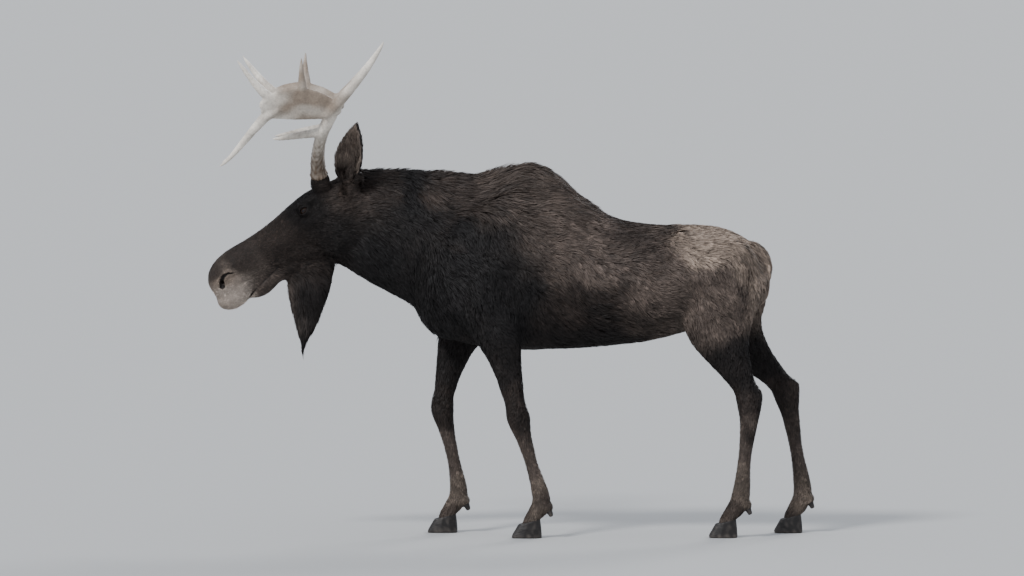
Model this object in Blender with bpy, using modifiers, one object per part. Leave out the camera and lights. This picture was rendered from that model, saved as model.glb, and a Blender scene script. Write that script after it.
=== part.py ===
"""A bull moose in mid-stride, life size, as a still model.

The animal faces -X, its left side is at -Y, and it stands on the floor, z = 0. Its flesh is built as
overlapping lofts and muscles, made one skin by a voxel remesh, and then parted with thin cuts.
Every surface lies at the tips of the coat. Metres throughout.
"""

import math

import bmesh
import bpy
from mathutils import Matrix, Vector

# ---------------------------------------------------------------- driving dimensions
SHOULDER_HEIGHT = 1.785  # floor to the top of the hump, hair included
TRUNK_LENGTH = 1.68  # breast to rump
CHEST_FRONT = -0.35  # x of the breast
HEAD_LENGTH = 0.775  # poll to the tip of the nose
HEAD_SLOPE = math.radians(33.5)  # how far the face points down
POLL = Vector((-0.668, 0.0, 1.592))  # middle of the skull's back end
FORE_TRACK = 0.168  # each front hoof to the middle plane
HIND_TRACK = 0.150
ANTLER_SPREAD = 0.93  # tip to tip

GAP = 0.0004  # the thin cut between two nodes
FLESH_VOXEL = 0.0095
FLESH_TRIANGLES = 4000
PLAIN_FACTOR = 0.010  # how much how_plain() counts when the facets are shared out
SMOOTHING = 5
RING = 20  # points round a section
STEPS = 4  # rings made between two stations

LEFT, RIGHT = -1, 1


# ---------------------------------------------------------------- helpers
def clear_scene():
    for obj in list(bpy.data.objects):
        bpy.data.objects.remove(obj)


def make_collection(name, shown):
    collection = bpy.data.collections.new(name)
    collection.hide_render = not shown
    bpy.context.scene.collection.children.link(collection)
    return collection


def add_object(name, mesh, collection):
    obj = bpy.data.objects.new(name, mesh)
    collection.objects.link(obj)
    return obj


def mesh_from(bm, name):
    """A mesh of flat facets, so that every cut sees the same surface."""
    bmesh.ops.triangulate(bm, faces=bm.faces)
    mesh = bpy.data.meshes.new(name)
    bm.to_mesh(mesh)
    bm.free()
    return mesh


def material(name, colour, roughness, metallic=0.0):
    made = bpy.data.materials.new(name)
    made.use_nodes = True
    shader = made.node_tree.nodes["Principled BSDF"]
    shader.inputs["Base Color"].default_value = (*colour, 1.0)
    shader.inputs["Roughness"].default_value = roughness
    shader.inputs["Metallic"].default_value = metallic
    made.diffuse_color = (*colour, 1.0)
    return made


def between(before, start, end, after, t):
    """Catmull-Rom value between start and end; works on numbers and vectors."""
    slope_in = (end - before) * 0.5
    slope_out = (after - start) * 0.5
    return (
        start * (2 * t**3 - 3 * t**2 + 1)
        + slope_in * (t**3 - 2 * t**2 + t)
        + end * (3 * t**2 - 2 * t**3)
        + slope_out * (t**3 - t**2)
    )


def refined(stations, steps=STEPS):
    """Stations, each a tuple of numbers and vectors, with smooth ones added between them."""
    made = []
    last = len(stations) - 1
    for i in range(last):
        four = [stations[max(0, min(last, i + k))] for k in (-1, 0, 1, 2)]
        for j in range(steps):
            made.append(tuple(between(*column, j / steps) for column in zip(*four)))
    made.append(stations[-1])
    return made


def egg(centre, across, up, half_width, above, below, pinch=0.0, corners=RING):
    """A section: half an ellipse above, half below, the upper half pinched towards a ridge."""
    points = []
    for k in range(corners):
        turn = 2 * math.pi * k / corners
        rise = math.cos(turn)
        height = above if rise > 0 else below
        width = half_width * (1 - pinch * max(rise, 0.0) ** 2)
        points.append(centre + across * (width * math.sin(turn)) + up * (height * rise))
    return points


def slab(centre, across, up, half_thickness, half_height, corners=24):
    """A flat section whose edges stay thick and round."""
    points = []
    for k in range(corners):
        turn = 2 * math.pi * k / corners
        wide = math.copysign(abs(math.sin(turn)) ** 0.5, math.sin(turn))
        high = math.copysign(abs(math.cos(turn)) ** 0.8, math.cos(turn))
        points.append(centre + across * (half_thickness * wide) + up * (half_height * high))
    return points


def add_loft(bm, rings):
    """Skins a row of rings with equal numbers of points, and closes both ends."""
    rows = [[bm.verts.new(point) for point in ring] for ring in rings]
    count = len(rows[0])
    faces = [bm.faces.new(rows[0]), bm.faces.new(rows[-1])]
    for low, high in zip(rows, rows[1:]):
        for k in range(count):
            n = (k + 1) % count
            faces.append(bm.faces.new((low[k], low[n], high[n], high[k])))
    bmesh.ops.recalc_face_normals(bm, faces=faces)


def add_limb(bm, stations, corners=RING, steps=STEPS):
    """A limb through stations of (point, half size along X, half size along Y)."""
    across = Vector((0, 1, 0))
    smooth = refined(stations, steps)
    rings = []
    for i, (point, along, side) in enumerate(smooth):
        way = smooth[min(i + 1, len(smooth) - 1)][0] - smooth[max(i - 1, 0)][0]
        up = across.cross(way.normalized()).normalized()
        flat = way.normalized().cross(up).normalized()
        rings.append(egg(point, flat, up, side, along, along, corners=corners))
    add_loft(bm, rings)


def add_ball(bm, centre, radii, pitch=0.0, segments=24):
    """An ellipsoid, turned by pitch about Y: a muscle, a bulge or an eye."""
    place = Matrix.Translation(centre) @ Matrix.Rotation(pitch, 4, "Y")
    size = Matrix.Diagonal((*radii, 1.0))
    bmesh.ops.create_uvsphere(
        bm, u_segments=segments, v_segments=segments // 2, radius=1.0, matrix=place @ size
    )


def evaluated_copy(obj, name, collection):
    """A new plain object with the mesh that obj's modifiers make; obj is removed."""
    bpy.context.view_layer.update()
    graph = bpy.context.evaluated_depsgraph_get()
    mesh = bpy.data.meshes.new_from_object(obj.evaluated_get(graph))
    mesh.name = name
    bpy.data.objects.remove(obj)
    return add_object(name, mesh, collection)


def fuse(obj, voxel, smoothing, triangles, plain=None):
    """Joins overlapping shapes into one skin, smooths it, and thins it to so many triangles."""
    remesh = obj.modifiers.new("Join", "REMESH")
    remesh.mode = "VOXEL"
    remesh.voxel_size = voxel
    dense = evaluated_copy(obj, obj.name, helpers)
    count = sum(len(face.vertices) - 2 for face in dense.data.polygons)
    smooth = dense.modifiers.new("Smooth", "SMOOTH")
    smooth.factor = 0.5
    smooth.iterations = smoothing
    if plain:
        group = dense.vertex_groups.new(name="plain")
        for vertex in dense.data.vertices:
            group.add([vertex.index], plain(vertex.co), "REPLACE")
        soften = dense.modifiers.new("Soften", "SMOOTH")
        soften.factor = 0.6
        soften.iterations = 4 * smoothing
        soften.vertex_group = group.name
    thin = dense.modifiers.new("Thin", "DECIMATE")
    thin.use_collapse_triangulate = True
    thin.ratio = triangles / count
    if plain:
        thin.vertex_group = group.name
        thin.vertex_group_factor = PLAIN_FACTOR
    return evaluated_copy(dense, dense.name, helpers)


def grown(obj, amount=GAP):
    """A helper with obj's shape, larger by amount, to cut a neighbour with."""
    bm = bmesh.new()
    bm.from_mesh(obj.data)
    bmesh.ops.triangulate(bm, faces=bm.faces)
    bm.normal_update()
    for vertex in bm.verts:
        vertex.co += vertex.normal * amount
    return add_object(obj.name + "_cutter", mesh_from(bm, obj.name + "_cutter"), helpers)


def boolean(obj, other, operation):
    """obj cut by or kept inside other, as a plain mesh of the same name.

    The remeshed skins are closed but can touch themselves in a fold, where the EXACT solver
    loses whole pieces, so the cuts use MANIFOLD.
    """
    obj.modifiers.new("Facets", "TRIANGULATE")
    cut = obj.modifiers.new("Cut", "BOOLEAN")
    cut.operation = operation
    cut.solver = "MANIFOLD"
    cut.object = other
    name, home = obj.name, obj.users_collection[0]
    return evaluated_copy(obj, name, home)


def box(name, centre, half, pitch=0.0):
    bm = bmesh.new()
    place = Matrix.Translation(centre) @ Matrix.Rotation(pitch, 4, "Y")
    bmesh.ops.create_cube(bm, size=2.0, matrix=place @ Matrix.Diagonal((*half, 1.0)))
    return add_object(name, mesh_from(bm, name), helpers)


def part_off(whole, name, centre, half, pitch=0.0):
    """Cuts what lies inside a turned box off whole. Returns (the piece, what is left)."""
    piece = add_object(name, whole.data.copy(), model)
    piece = boolean(piece, box("inside", centre, half, pitch), "INTERSECT")
    wider = [size + GAP for size in half]
    rest = boolean(whole, box("outside", centre, wider, pitch), "DIFFERENCE")
    return largest_body(piece), largest_body(rest)


def largest_body(obj):
    """Drops crumbs that a cut leaves beside the main body."""
    bm = bmesh.new()
    bm.from_mesh(obj.data)
    left = set(bm.verts)
    bodies = []
    while left:
        found, todo = set(), [left.pop()]
        while todo:
            vertex = todo.pop()
            found.add(vertex)
            near = {edge.other_vert(vertex) for edge in vertex.link_edges} & left
            left -= near
            todo += near
        bodies.append(found)
    biggest = max(bodies, key=len)
    for body in bodies:
        if body is not biggest:
            bmesh.ops.delete(bm, geom=list(body), context="VERTS")
    bm.to_mesh(obj.data)
    bm.free()
    return obj


def finish(obj, name, stuff, smooth=True):
    obj.name = name
    obj.data.name = name
    obj.data.materials.clear()
    obj.data.materials.append(stuff)
    if smooth:
        obj.data.shade_smooth()
    for collection in list(obj.users_collection):
        collection.objects.unlink(obj)
    model.objects.link(obj)
    return obj


clear_scene()
model = make_collection("moose", shown=True)
helpers = make_collection("cutters", shown=False)

dark_coat = material("coat", (0.022, 0.018, 0.017), 0.7)
leg_coat = material("leg_coat", (0.060, 0.047, 0.038), 0.7)
ear_skin = material("ear_coat", (0.030, 0.025, 0.023), 0.75)
horn = material("hoof_horn", (0.018, 0.016, 0.015), 0.35)
bone = material("antler_bone", (0.42, 0.34, 0.26), 0.5)
eye_black = material("eye", (0.010, 0.007, 0.005), 0.08)


# ---------------------------------------------------------------- trunk and neck
# Each row: share of the trunk's length from the breast, then the back's height, the belly's height
# and the half width, all as shares of the shoulder height, and the pinch of the back's ridge.
TRUNK = (
    (0.000, 0.760, 0.632, 0.050, 0.00),
    (0.030, 0.840, 0.575, 0.092, 0.00),
    (0.090, 0.915, 0.525, 0.122, 0.15),
    (0.180, 0.970, 0.500, 0.140, 0.40),
    (0.270, 0.995, 0.492, 0.148, 0.52),
    (0.340, 0.997, 0.490, 0.153, 0.52),
    (0.405, 0.965, 0.492, 0.158, 0.45),
    (0.470, 0.902, 0.496, 0.163, 0.35),
    (0.560, 0.848, 0.504, 0.167, 0.25),
    (0.680, 0.828, 0.520, 0.160, 0.20),
    (0.790, 0.829, 0.548, 0.149, 0.20),
    (0.880, 0.816, 0.570, 0.140, 0.20),
    (0.945, 0.780, 0.590, 0.114, 0.20),
    (0.985, 0.720, 0.618, 0.076, 0.10),
    (1.000, 0.672, 0.640, 0.030, 0.00),
)
# Each row: x, then the neck's top, its bottom and its half width, and the pinch of the mane.
NECK = (
    (0.130, 1.700, 1.000, 0.205, 0.40),
    (-0.100, 1.742, 0.985, 0.196, 0.42),
    (-0.250, 1.748, 1.030, 0.180, 0.40),
    (-0.400, 1.750, 1.105, 0.163, 0.35),
    (-0.550, 1.752, 1.185, 0.148, 0.28),
    (-0.670, 1.735, 1.255, 0.132, 0.20),
    (-0.760, 1.670, 1.310, 0.104, 0.10),
)


def upright_rings(rows, to_x, unit):
    """Egg sections that stand across X, from rows of x, top, bottom, half width and pinch."""
    rings = []
    for place, top, bottom, half_width, pinch in refined(rows):
        half = (top - bottom) * unit / 2
        centre = Vector((to_x(place), 0, (top + bottom) * unit / 2))
        across = Vector((0, 1, 0))
        rings.append(egg(centre, across, Vector((0, 0, 1)), half_width * unit, half, half, pinch))
    return rings


def add_trunk(bm):
    add_loft(bm, upright_rings(TRUNK, lambda t: CHEST_FRONT + t * TRUNK_LENGTH, SHOULDER_HEIGHT))
    add_loft(bm, upright_rings(NECK, lambda x: x, 1.0))
    add_ball(bm, (-0.205, 0, 1.10), (0.150, 0.135, 0.165), math.radians(-20))  # breast
    for side in (LEFT, RIGHT):
        add_ball(bm, (0.060, side * 0.145, 1.380), (0.165, 0.090, 0.280), math.radians(12))  # blade
        add_ball(bm, (-0.130, side * 0.145, 1.170), (0.130, 0.085, 0.150))  # point of shoulder
        add_ball(bm, (0.960, side * 0.148, 1.310), (0.190, 0.084, 0.140), math.radians(15))  # hip
        add_ball(bm, (1.150, side * 0.130, 1.230), (0.140, 0.095, 0.190))  # buttock


# ---------------------------------------------------------------- legs
# Each row: joint or place, x, z, half size along the leg's side view, half size across.
FORE_LEG = {
    LEFT: (
        ("shoulder", 0.015, 1.300, 0.150, 0.085),
        ("upper arm", 0.000, 1.130, 0.152, 0.088),
        ("elbow", 0.035, 0.985, 0.122, 0.078),
        ("forearm", 0.075, 0.850, 0.083, 0.063),
        ("above knee", 0.118, 0.655, 0.053, 0.047),
        ("knee", 0.138, 0.565, 0.061, 0.052),
        ("below knee", 0.160, 0.485, 0.044, 0.040),
        ("cannon", 0.203, 0.340, 0.036, 0.031),
        ("fetlock", 0.248, 0.182, 0.048, 0.043),
        ("pastern", 0.226, 0.122, 0.044, 0.047),
        ("coronet", 0.190, 0.025, 0.066, 0.062),
    ),
    RIGHT: (
        ("shoulder", -0.060, 1.300, 0.150, 0.085),
        ("upper arm", -0.110, 1.130, 0.152, 0.088),
        ("elbow", -0.125, 0.985, 0.122, 0.078),
        ("forearm", -0.170, 0.860, 0.086, 0.064),
        ("above knee", -0.213, 0.680, 0.053, 0.047),
        ("knee", -0.225, 0.590, 0.061, 0.052),
        ("below knee", -0.207, 0.505, 0.044, 0.040),
        ("cannon", -0.172, 0.350, 0.036, 0.031),
        ("fetlock", -0.145, 0.187, 0.048, 0.043),
        ("pastern", -0.174, 0.125, 0.044, 0.047),
        ("coronet", -0.210, 0.025, 0.066, 0.062),
    ),
}
HIND_LEG = {
    LEFT: (
        ("hip", 1.100, 1.290, 0.185, 0.098),
        ("thigh", 1.085, 1.130, 0.200, 0.098),
        ("stifle", 1.090, 0.985, 0.165, 0.083),
        ("gaskin", 1.140, 0.850, 0.102, 0.062),
        ("above hock", 1.205, 0.715, 0.060, 0.044),
        ("hock", 1.228, 0.632, 0.065, 0.047),
        ("below hock", 1.226, 0.540, 0.048, 0.040),
        ("cannon", 1.206, 0.370, 0.037, 0.032),
        ("fetlock", 1.188, 0.190, 0.049, 0.043),
        ("pastern", 1.158, 0.127, 0.045, 0.047),
        ("coronet", 1.118, 0.025, 0.066, 0.061),
    ),
    RIGHT: (
        ("hip", 1.110, 1.290, 0.185, 0.098),
        ("thigh", 1.130, 1.130, 0.200, 0.098),
        ("stifle", 1.155, 0.985, 0.160, 0.083),
        ("gaskin", 1.245, 0.860, 0.100, 0.062),
        ("above hock", 1.365, 0.735, 0.060, 0.044),
        ("hock", 1.412, 0.655, 0.065, 0.047),
        ("below hock", 1.432, 0.560, 0.048, 0.040),
        ("cannon", 1.462, 0.385, 0.037, 0.032),
        ("fetlock", 1.492, 0.197, 0.049, 0.043),
        ("pastern", 1.470, 0.130, 0.045, 0.047),
        ("coronet", 1.434, 0.025, 0.066, 0.061),
    ),
}
CORONET_HEIGHT = 0.078  # where the hair ends and the horn begins, at the middle of the foot
CORONET_SLOPE = math.radians(-16)  # the hair line drops towards the heel


def leg_stations(rows, side, track):
    """The leg's stations; it stands a little closer to the middle at the hoof than at the body."""
    return [
        (Vector((x, side * (track + 0.012 * min(z, 1.0)), z)), along, across)
        for _, x, z, along, across in rows
    ]


def add_legs(bm):
    for side in (LEFT, RIGHT):
        add_limb(bm, leg_stations(FORE_LEG[side], side, FORE_TRACK))
        add_limb(bm, leg_stations(HIND_LEG[side], side, HIND_TRACK))
        hock = HIND_LEG[side][5]
        add_ball(bm, (hock[1] + 0.040, side * HIND_TRACK, hock[2] + 0.035), (0.034, 0.026, 0.062))


RUMP_START, RUMP_END = 1.000, 1.330  # x where the rump begins to narrow towards the tail, and its end
RUMP_NARROWING = 0.34  # share of its width that it loses by the end
RUMP_LOW, RUMP_HIGH = 0.780, 1.050  # the narrowing fades out down the thighs between these heights


def ease(start, end, value):
    """0 before start and 1 after end, with a smooth passage between."""
    t = min(max((value - start) / (end - start), 0.0), 1.0)
    return t * t * (3 - 2 * t)


def narrow_rump(bm):
    """Rounds the rump as seen from above, from the hip bones back to the tail."""
    for vert in bm.verts:
        t = max(vert.co.x - RUMP_START, 0.0) / (RUMP_END - RUMP_START)
        share = RUMP_NARROWING * min(t, 1.0) ** 2 * ease(RUMP_LOW, RUMP_HIGH, vert.co.z)
        vert.co.y *= 1 - share


# ---------------------------------------------------------------- head
FACE = Vector((-math.cos(HEAD_SLOPE), 0, -math.sin(HEAD_SLOPE)))  # from poll to nose
BROW = Vector((-math.sin(HEAD_SLOPE), 0, math.cos(HEAD_SLOPE)))  # square to it, upwards
# Each row: share of the head's length, height above and below its axis, half width, pinch.
HEAD = (
    (-0.060, 0.100, 0.140, 0.090, 0.10),
    (0.060, 0.130, 0.205, 0.116, 0.15),
    (0.190, 0.142, 0.218, 0.122, 0.15),
    (0.310, 0.136, 0.192, 0.108, 0.20),
    (0.430, 0.122, 0.152, 0.086, 0.20),
    (0.550, 0.114, 0.118, 0.074, 0.15),
    (0.680, 0.114, 0.106, 0.078, 0.05),
    (0.800, 0.118, 0.108, 0.089, 0.00),
    (0.900, 0.104, 0.112, 0.092, 0.00),
    (0.965, 0.074, 0.100, 0.080, 0.00),
    (1.000, 0.034, 0.060, 0.050, 0.00),
)
EYE_PLACE = (0.255, 0.096, 0.074)  # share of the head's length, distance to the side, height
EYE_RADIUS = 0.021


def on_head(share, side, height):
    """A point of the head, from its share of the head's length, and its side and height."""
    return POLL + FACE * (share * HEAD_LENGTH) + BROW * height + Vector((0, side, 0))


def add_head(bm):
    rings = []
    for share, above, below, half_width, pinch in refined(HEAD):
        centre = on_head(share, 0, 0)
        rings.append(egg(centre, Vector((0, 1, 0)), BROW, half_width, above, below, pinch))
    add_loft(bm, rings)
    lean = -HEAD_SLOPE
    add_ball(bm, on_head(0.905, 0, -0.078), (0.090, 0.074, 0.064), lean)  # overhanging lip
    add_ball(bm, on_head(0.725, 0, -0.120), (0.085, 0.050, 0.042), lean)  # chin
    add_ball(bm, on_head(0.500, 0, -0.112), (0.200, 0.050, 0.042), lean)  # lower jaw
    for side in (LEFT, RIGHT):
        add_ball(bm, on_head(0.170, side * 0.082, -0.100), (0.115, 0.046, 0.105), lean)  # cheek
        add_ball(bm, on_head(0.215, side * 0.084, 0.100), (0.064, 0.034, 0.028), lean)  # eyebrow
        add_ball(bm, on_head(0.870, side * 0.068, 0.030), (0.062, 0.032, 0.046), lean)  # nostril
        add_ball(bm, on_head(0.095, side * 0.078, 0.132), (0.046, 0.034, 0.044), lean)  # pedicle


# ---------------------------------------------------------------- flesh, in one skin and then parted
def how_plain(point):
    """1 on the broad trunk, less on the legs, and least on the face, which keeps fine facets."""
    if point.x < POLL.x:
        return 0.04
    return max(0.06, min(1.0, (point.z - 0.70) / 0.30))


def make_flesh():
    bm = bmesh.new()
    add_trunk(bm)
    add_legs(bm)
    narrow_rump(bm)
    add_head(bm)
    whole = add_object("flesh", mesh_from(bm, "flesh"), helpers)
    return fuse(whole, FLESH_VOXEL, SMOOTHING, FLESH_TRIANGLES, how_plain)


LEG_CUT = {  # name: the cut-off box's centre, half sizes and pitch
    "leg_front_left": ((0.100, -0.25, 0.380), (0.350, 0.24, 0.480), 0.0),
    "leg_front_right": ((-0.160, 0.25, 0.380), (0.350, 0.24, 0.480), 0.0),
    "leg_hind_left": ((1.130, -0.25, 0.430), (0.400, 0.24, 0.500), math.radians(-5)),
    "leg_hind_right": ((1.270, 0.25, 0.430), (0.400, 0.24, 0.500), math.radians(-5)),
}
HEAD_CUT = ((-1.150, 0, 1.450), (0.420, 0.40, 0.60), math.radians(14))
NECK_CUT = ((-0.700, 0, 1.400), (0.440, 0.40, 0.70), math.radians(14))


def part_flesh(whole):
    """Cuts the legs, the head and the neck off; what is left is the trunk."""
    pieces = {}
    for name, (centre, half, pitch) in LEG_CUT.items():
        pieces[name], whole = part_off(whole, name, centre, half, pitch)
    pieces["head"], whole = part_off(whole, "head", *HEAD_CUT)
    pieces["neck"], whole = part_off(whole, "neck", *NECK_CUT)
    pieces["trunk"] = whole
    return pieces


# ---------------------------------------------------------------- feet
HOOF_LENGTH = {"front": 0.150, "hind": 0.142}
CLAW_WIDTH = 0.052
CLAW_SPLAY = math.radians(5)
CLAW_SECTIONS = (  # height, how far the toe reaches, how far the heel reaches, width, all as shares
    (0.00, 1.00, 1.00, 1.00),
    (0.20, 0.93, 1.00, 1.00),
    (0.55, 0.74, 0.97, 0.97),
    (1.00, 0.50, 0.90, 0.90),
    (1.45, 0.30, 0.80, 0.80),
)


def claw_outline(toe, heel, width, corners=10):
    """One claw seen from above: pointed in front, at -X, and round behind."""
    points = []
    for k in range(corners):
        turn = 2 * math.pi * k / corners
        along = math.cos(turn)
        reach = toe if along > 0 else heel
        point_shape = 1 - 0.45 * max(along, 0.0) ** 2
        points.append((-reach * along, width / 2 * math.sin(turn) * point_shape))
    return points


def make_claw(name, foot, side, length):
    """One half of a cloven hoof, cut off slanting at the hair line."""
    bm = bmesh.new()
    toe, heel = length * 0.60, length * 0.40
    rings = []
    for height, toe_share, heel_share, width_share in CLAW_SECTIONS:
        outline = claw_outline(toe * toe_share, heel * heel_share, CLAW_WIDTH * width_share)
        rings.append([Vector((x, y, height * CORONET_HEIGHT)) for x, y in outline])
    add_loft(bm, rings)
    turn = Matrix.Rotation(-side * CLAW_SPLAY, 4, "Z")
    offset = Vector((0, side * (CLAW_WIDTH / 2 + 0.003), 0))
    bmesh.ops.transform(bm, verts=bm.verts, matrix=Matrix.Translation(foot + offset) @ turn)
    claw = add_object(name, mesh_from(bm, name), helpers)
    return finish(boolean(claw, coronet_box(foot, -GAP / 2), "DIFFERENCE"), name, horn)


def coronet_box(foot, lift):
    """The space above a foot's hair line."""
    high = 0.80
    centre = foot + Vector((0, 0, CORONET_HEIGHT + lift))
    raised = centre + Matrix.Rotation(CORONET_SLOPE, 3, "Y") @ Vector((0, 0, high))
    return box("above_coronet", raised, (0.90, 0.25, high), CORONET_SLOPE)


def make_dewclaw(name, place, side):
    """A small horn stub behind the fetlock, pointing down and back."""
    bm = bmesh.new()
    lean = Matrix.Rotation(math.radians(155), 4, "Y")
    spread = Matrix.Rotation(side * math.radians(10), 4, "X")
    bmesh.ops.create_cone(
        bm, cap_ends=True, segments=8, radius1=0.021, radius2=0.010, depth=0.052,
        matrix=Matrix.Translation(place) @ spread @ lean,
    )
    return add_object(name, mesh_from(bm, name), helpers)


def make_feet(pieces, flesh_cutter):
    for end, legs, track in (("front", FORE_LEG, FORE_TRACK), ("hind", HIND_LEG, HIND_TRACK)):
        for hand, side in (("left", LEFT), ("right", RIGHT)):
            label = f"leg_{end}_{hand}"
            x, z = legs[side][-1][1:3]
            foot = Vector((x, side * track, 0))
            fetlock = legs[side][-3]
            leg = boolean(pieces[label], coronet_box(foot, GAP / 2), "INTERSECT")
            leg = largest_body(leg)
            for which, way in (("outer", side), ("inner", -side)):
                make_claw(f"hoof_{end}_{hand}_{which}", foot, way, HOOF_LENGTH[end])
                place = Vector((fetlock[1] + 0.036, side * track + way * 0.023, fetlock[2] - 0.056))
                stub = make_dewclaw(f"dewclaw_{end}_{hand}_{which}", place, way)
                stub = largest_body(boolean(stub, flesh_cutter, "DIFFERENCE"))
                finish(stub, f"dewclaw_{end}_{hand}_{which}", horn)
            pieces[label] = finish(leg, label, leg_coat)


# ---------------------------------------------------------------- ears, eyes, bell and tail
EAR_LENGTH = 0.295
EAR_WIDTH = 0.128
EAR_THICKNESS = 0.014
EAR_ROWS, EAR_COLUMNS = 16, 12
EAR_REACH = 0.97  # the rows stop just short of the point
EAR_PLACE = (-0.085, 0.072, 0.072)  # the root: share of the head's length, distance to the side, height
EAR_TURN, EAR_BACK, EAR_OUT = (math.radians(angle) for angle in (28, 5, 22))
EAR_VOXEL = 0.004
EAR_TRIANGLES = 260


def ear_point(along, across):
    """The ear's inner surface: a leaf that is rolled at its root and flatter at its tip."""
    width = EAR_WIDTH / 2 * (0.42 + 0.62 * math.sin(math.pi * along**0.85)) * (1 - along**5)
    roll = math.radians(118 - 78 * along)
    turn = across * roll
    radius = width / max(math.sin(roll), 0.75)
    return Vector((radius * math.sin(turn), radius * (1 - math.cos(turn)) * 0.9, along * EAR_LENGTH))


def make_ear(name, side):
    bm = bmesh.new()
    grid = []
    for i in range(EAR_ROWS + 1):
        along = EAR_REACH * i / EAR_ROWS
        across = [2 * j / EAR_COLUMNS - 1 for j in range(EAR_COLUMNS + 1)]
        grid.append([bm.verts.new(ear_point(along, share)) for share in across])
    for low, high in zip(grid, grid[1:]):
        for j in range(EAR_COLUMNS):
            bm.faces.new((low[j], low[j + 1], high[j + 1], high[j]))
    # The hollow faces outwards and forwards, and the ear leans out and back.
    turn = Matrix.Rotation(math.radians(180 if side == RIGHT else 0), 4, "Z")
    face = Matrix.Rotation(side * EAR_TURN, 4, "Z")
    lean = Matrix.Rotation(EAR_BACK, 4, "Y") @ Matrix.Rotation(-side * EAR_OUT, 4, "X")
    share, out, height = EAR_PLACE
    root = on_head(share, side * out, height)
    place = Matrix.Translation(root) @ lean @ face @ Matrix.Rotation(math.pi, 4, "Z") @ turn
    bmesh.ops.transform(bm, verts=bm.verts, matrix=place)
    bmesh.ops.recalc_face_normals(bm, faces=bm.faces)
    ear = add_object(name, mesh_from(bm, name), helpers)
    shell = ear.modifiers.new("Thickness", "SOLIDIFY")
    shell.thickness = EAR_THICKNESS
    shell.offset = 0.0
    return fuse(evaluated_copy(ear, name, helpers), EAR_VOXEL, 2, EAR_TRIANGLES)


def make_eye(name, side):
    bm = bmesh.new()
    share, out, height = EYE_PLACE
    add_ball(bm, on_head(share, side * out, height), (EYE_RADIUS,) * 3, segments=12)
    return add_object(name, mesh_from(bm, name), helpers)


BELL = (  # x, z, half size along X, half size along Y
    (-0.840, 1.330, 0.115, 0.050),
    (-0.850, 1.230, 0.120, 0.044),
    (-0.862, 1.110, 0.098, 0.036),
    (-0.872, 1.010, 0.062, 0.027),
    (-0.880, 0.930, 0.028, 0.018),
    (-0.884, 0.860, 0.014, 0.012),
    (-0.886, 0.780, 0.007, 0.007),
)
TAIL = (
    (1.235, 1.380, 0.034, 0.046),
    (1.285, 1.345, 0.034, 0.046),
    (1.315, 1.295, 0.028, 0.040),
    (1.330, 1.245, 0.018, 0.028),
    (1.332, 1.210, 0.007, 0.010),
)


def make_hanging(name, rows):
    bm = bmesh.new()
    stations = [(Vector((x, 0, z)), along, across) for x, z, along, across in rows]
    add_limb(bm, stations, corners=10, steps=2)
    return add_object(name, mesh_from(bm, name), helpers)


def make_head_pieces(pieces, flesh_cutter):
    """Sets the eyes, the ears and the bell against the head and neck."""
    head = pieces["head"]
    for hand, side in (("left", LEFT), ("right", RIGHT)):
        eye = make_eye(f"eye_{hand}", side)
        head = largest_body(boolean(head, grown(eye), "DIFFERENCE"))
        finish(eye, f"eye_{hand}", eye_black)
    for hand, side in (("left", LEFT), ("right", RIGHT)):
        ear = boolean(make_ear(f"ear_{hand}", side), flesh_cutter, "DIFFERENCE")
        finish(largest_body(ear), f"ear_{hand}", ear_skin)
    bell = boolean(make_hanging("bell", BELL), flesh_cutter, "DIFFERENCE")
    finish(largest_body(bell), "bell", dark_coat)
    pieces["head"] = finish(head, "head", dark_coat)
    pieces["neck"] = finish(pieces["neck"], "neck", dark_coat)


# ---------------------------------------------------------------- antlers
# Places on the left antler: x, distance to the side as a share of half the spread, z, and radius.
HALF_SPREAD = ANTLER_SPREAD / 2
BEAM = (
    (-0.796, 0.160, 1.655, 0.030),
    (-0.808, 0.195, 1.712, 0.035),
    (-0.812, 0.330, 1.800, 0.029),
    (-0.795, 0.510, 1.890, 0.027),
    (-0.758, 0.660, 1.975, 0.030),
    (-0.730, 0.740, 2.035, 0.029),
)
TINES = {
    "rear": (
        (-0.770, 0.710, 2.000, 0.028), (-0.680, 0.810, 2.095, 0.025), (-0.590, 0.910, 2.200, 0.018),
        (-0.530, 0.970, 2.285, 0.012), (-0.495, 1.000, 2.345, 0.005),
    ),
    "middle": (
        (-0.865, 0.790, 2.050, 0.012), (-0.875, 0.860, 2.130, 0.021),
        (-0.880, 0.930, 2.225, 0.012), (-0.878, 0.950, 2.290, 0.005),
    ),
    "front": (
        (-0.960, 0.812, 2.055, 0.012), (-1.050, 0.855, 2.105, 0.022),
        (-1.130, 0.910, 2.195, 0.014), (-1.195, 0.930, 2.285, 0.005),
    ),
    "brow": (
        (-0.960, 0.812, 2.050, 0.012), (-1.060, 0.790, 1.985, 0.023), (-1.160, 0.700, 1.870, 0.017),
        (-1.230, 0.610, 1.790, 0.011), (-1.290, 0.540, 1.745, 0.005),
    ),
    "inner": (
        (-0.800, 0.560, 1.920, 0.023), (-0.900, 0.520, 1.905, 0.018),
        (-0.980, 0.460, 1.890, 0.012), (-1.040, 0.420, 1.885, 0.005),
    ),
}
PALM = (  # upright sections from the beam to the front tines: x, side share, z, half height
    (-0.692, 0.735, 2.030, 0.014),
    (-0.715, 0.745, 2.035, 0.036),
    (-0.765, 0.760, 2.045, 0.062),
    (-0.835, 0.785, 2.055, 0.080),
    (-0.910, 0.805, 2.060, 0.086),
    (-0.985, 0.820, 2.055, 0.077),
    (-1.040, 0.825, 2.045, 0.055),
    (-1.078, 0.830, 2.045, 0.024),
)
PALM_THICKNESS = 0.027
PALM_TILT = math.radians(24)  # the palm leans outwards
ANTLER_VOXEL = 0.0060
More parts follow.
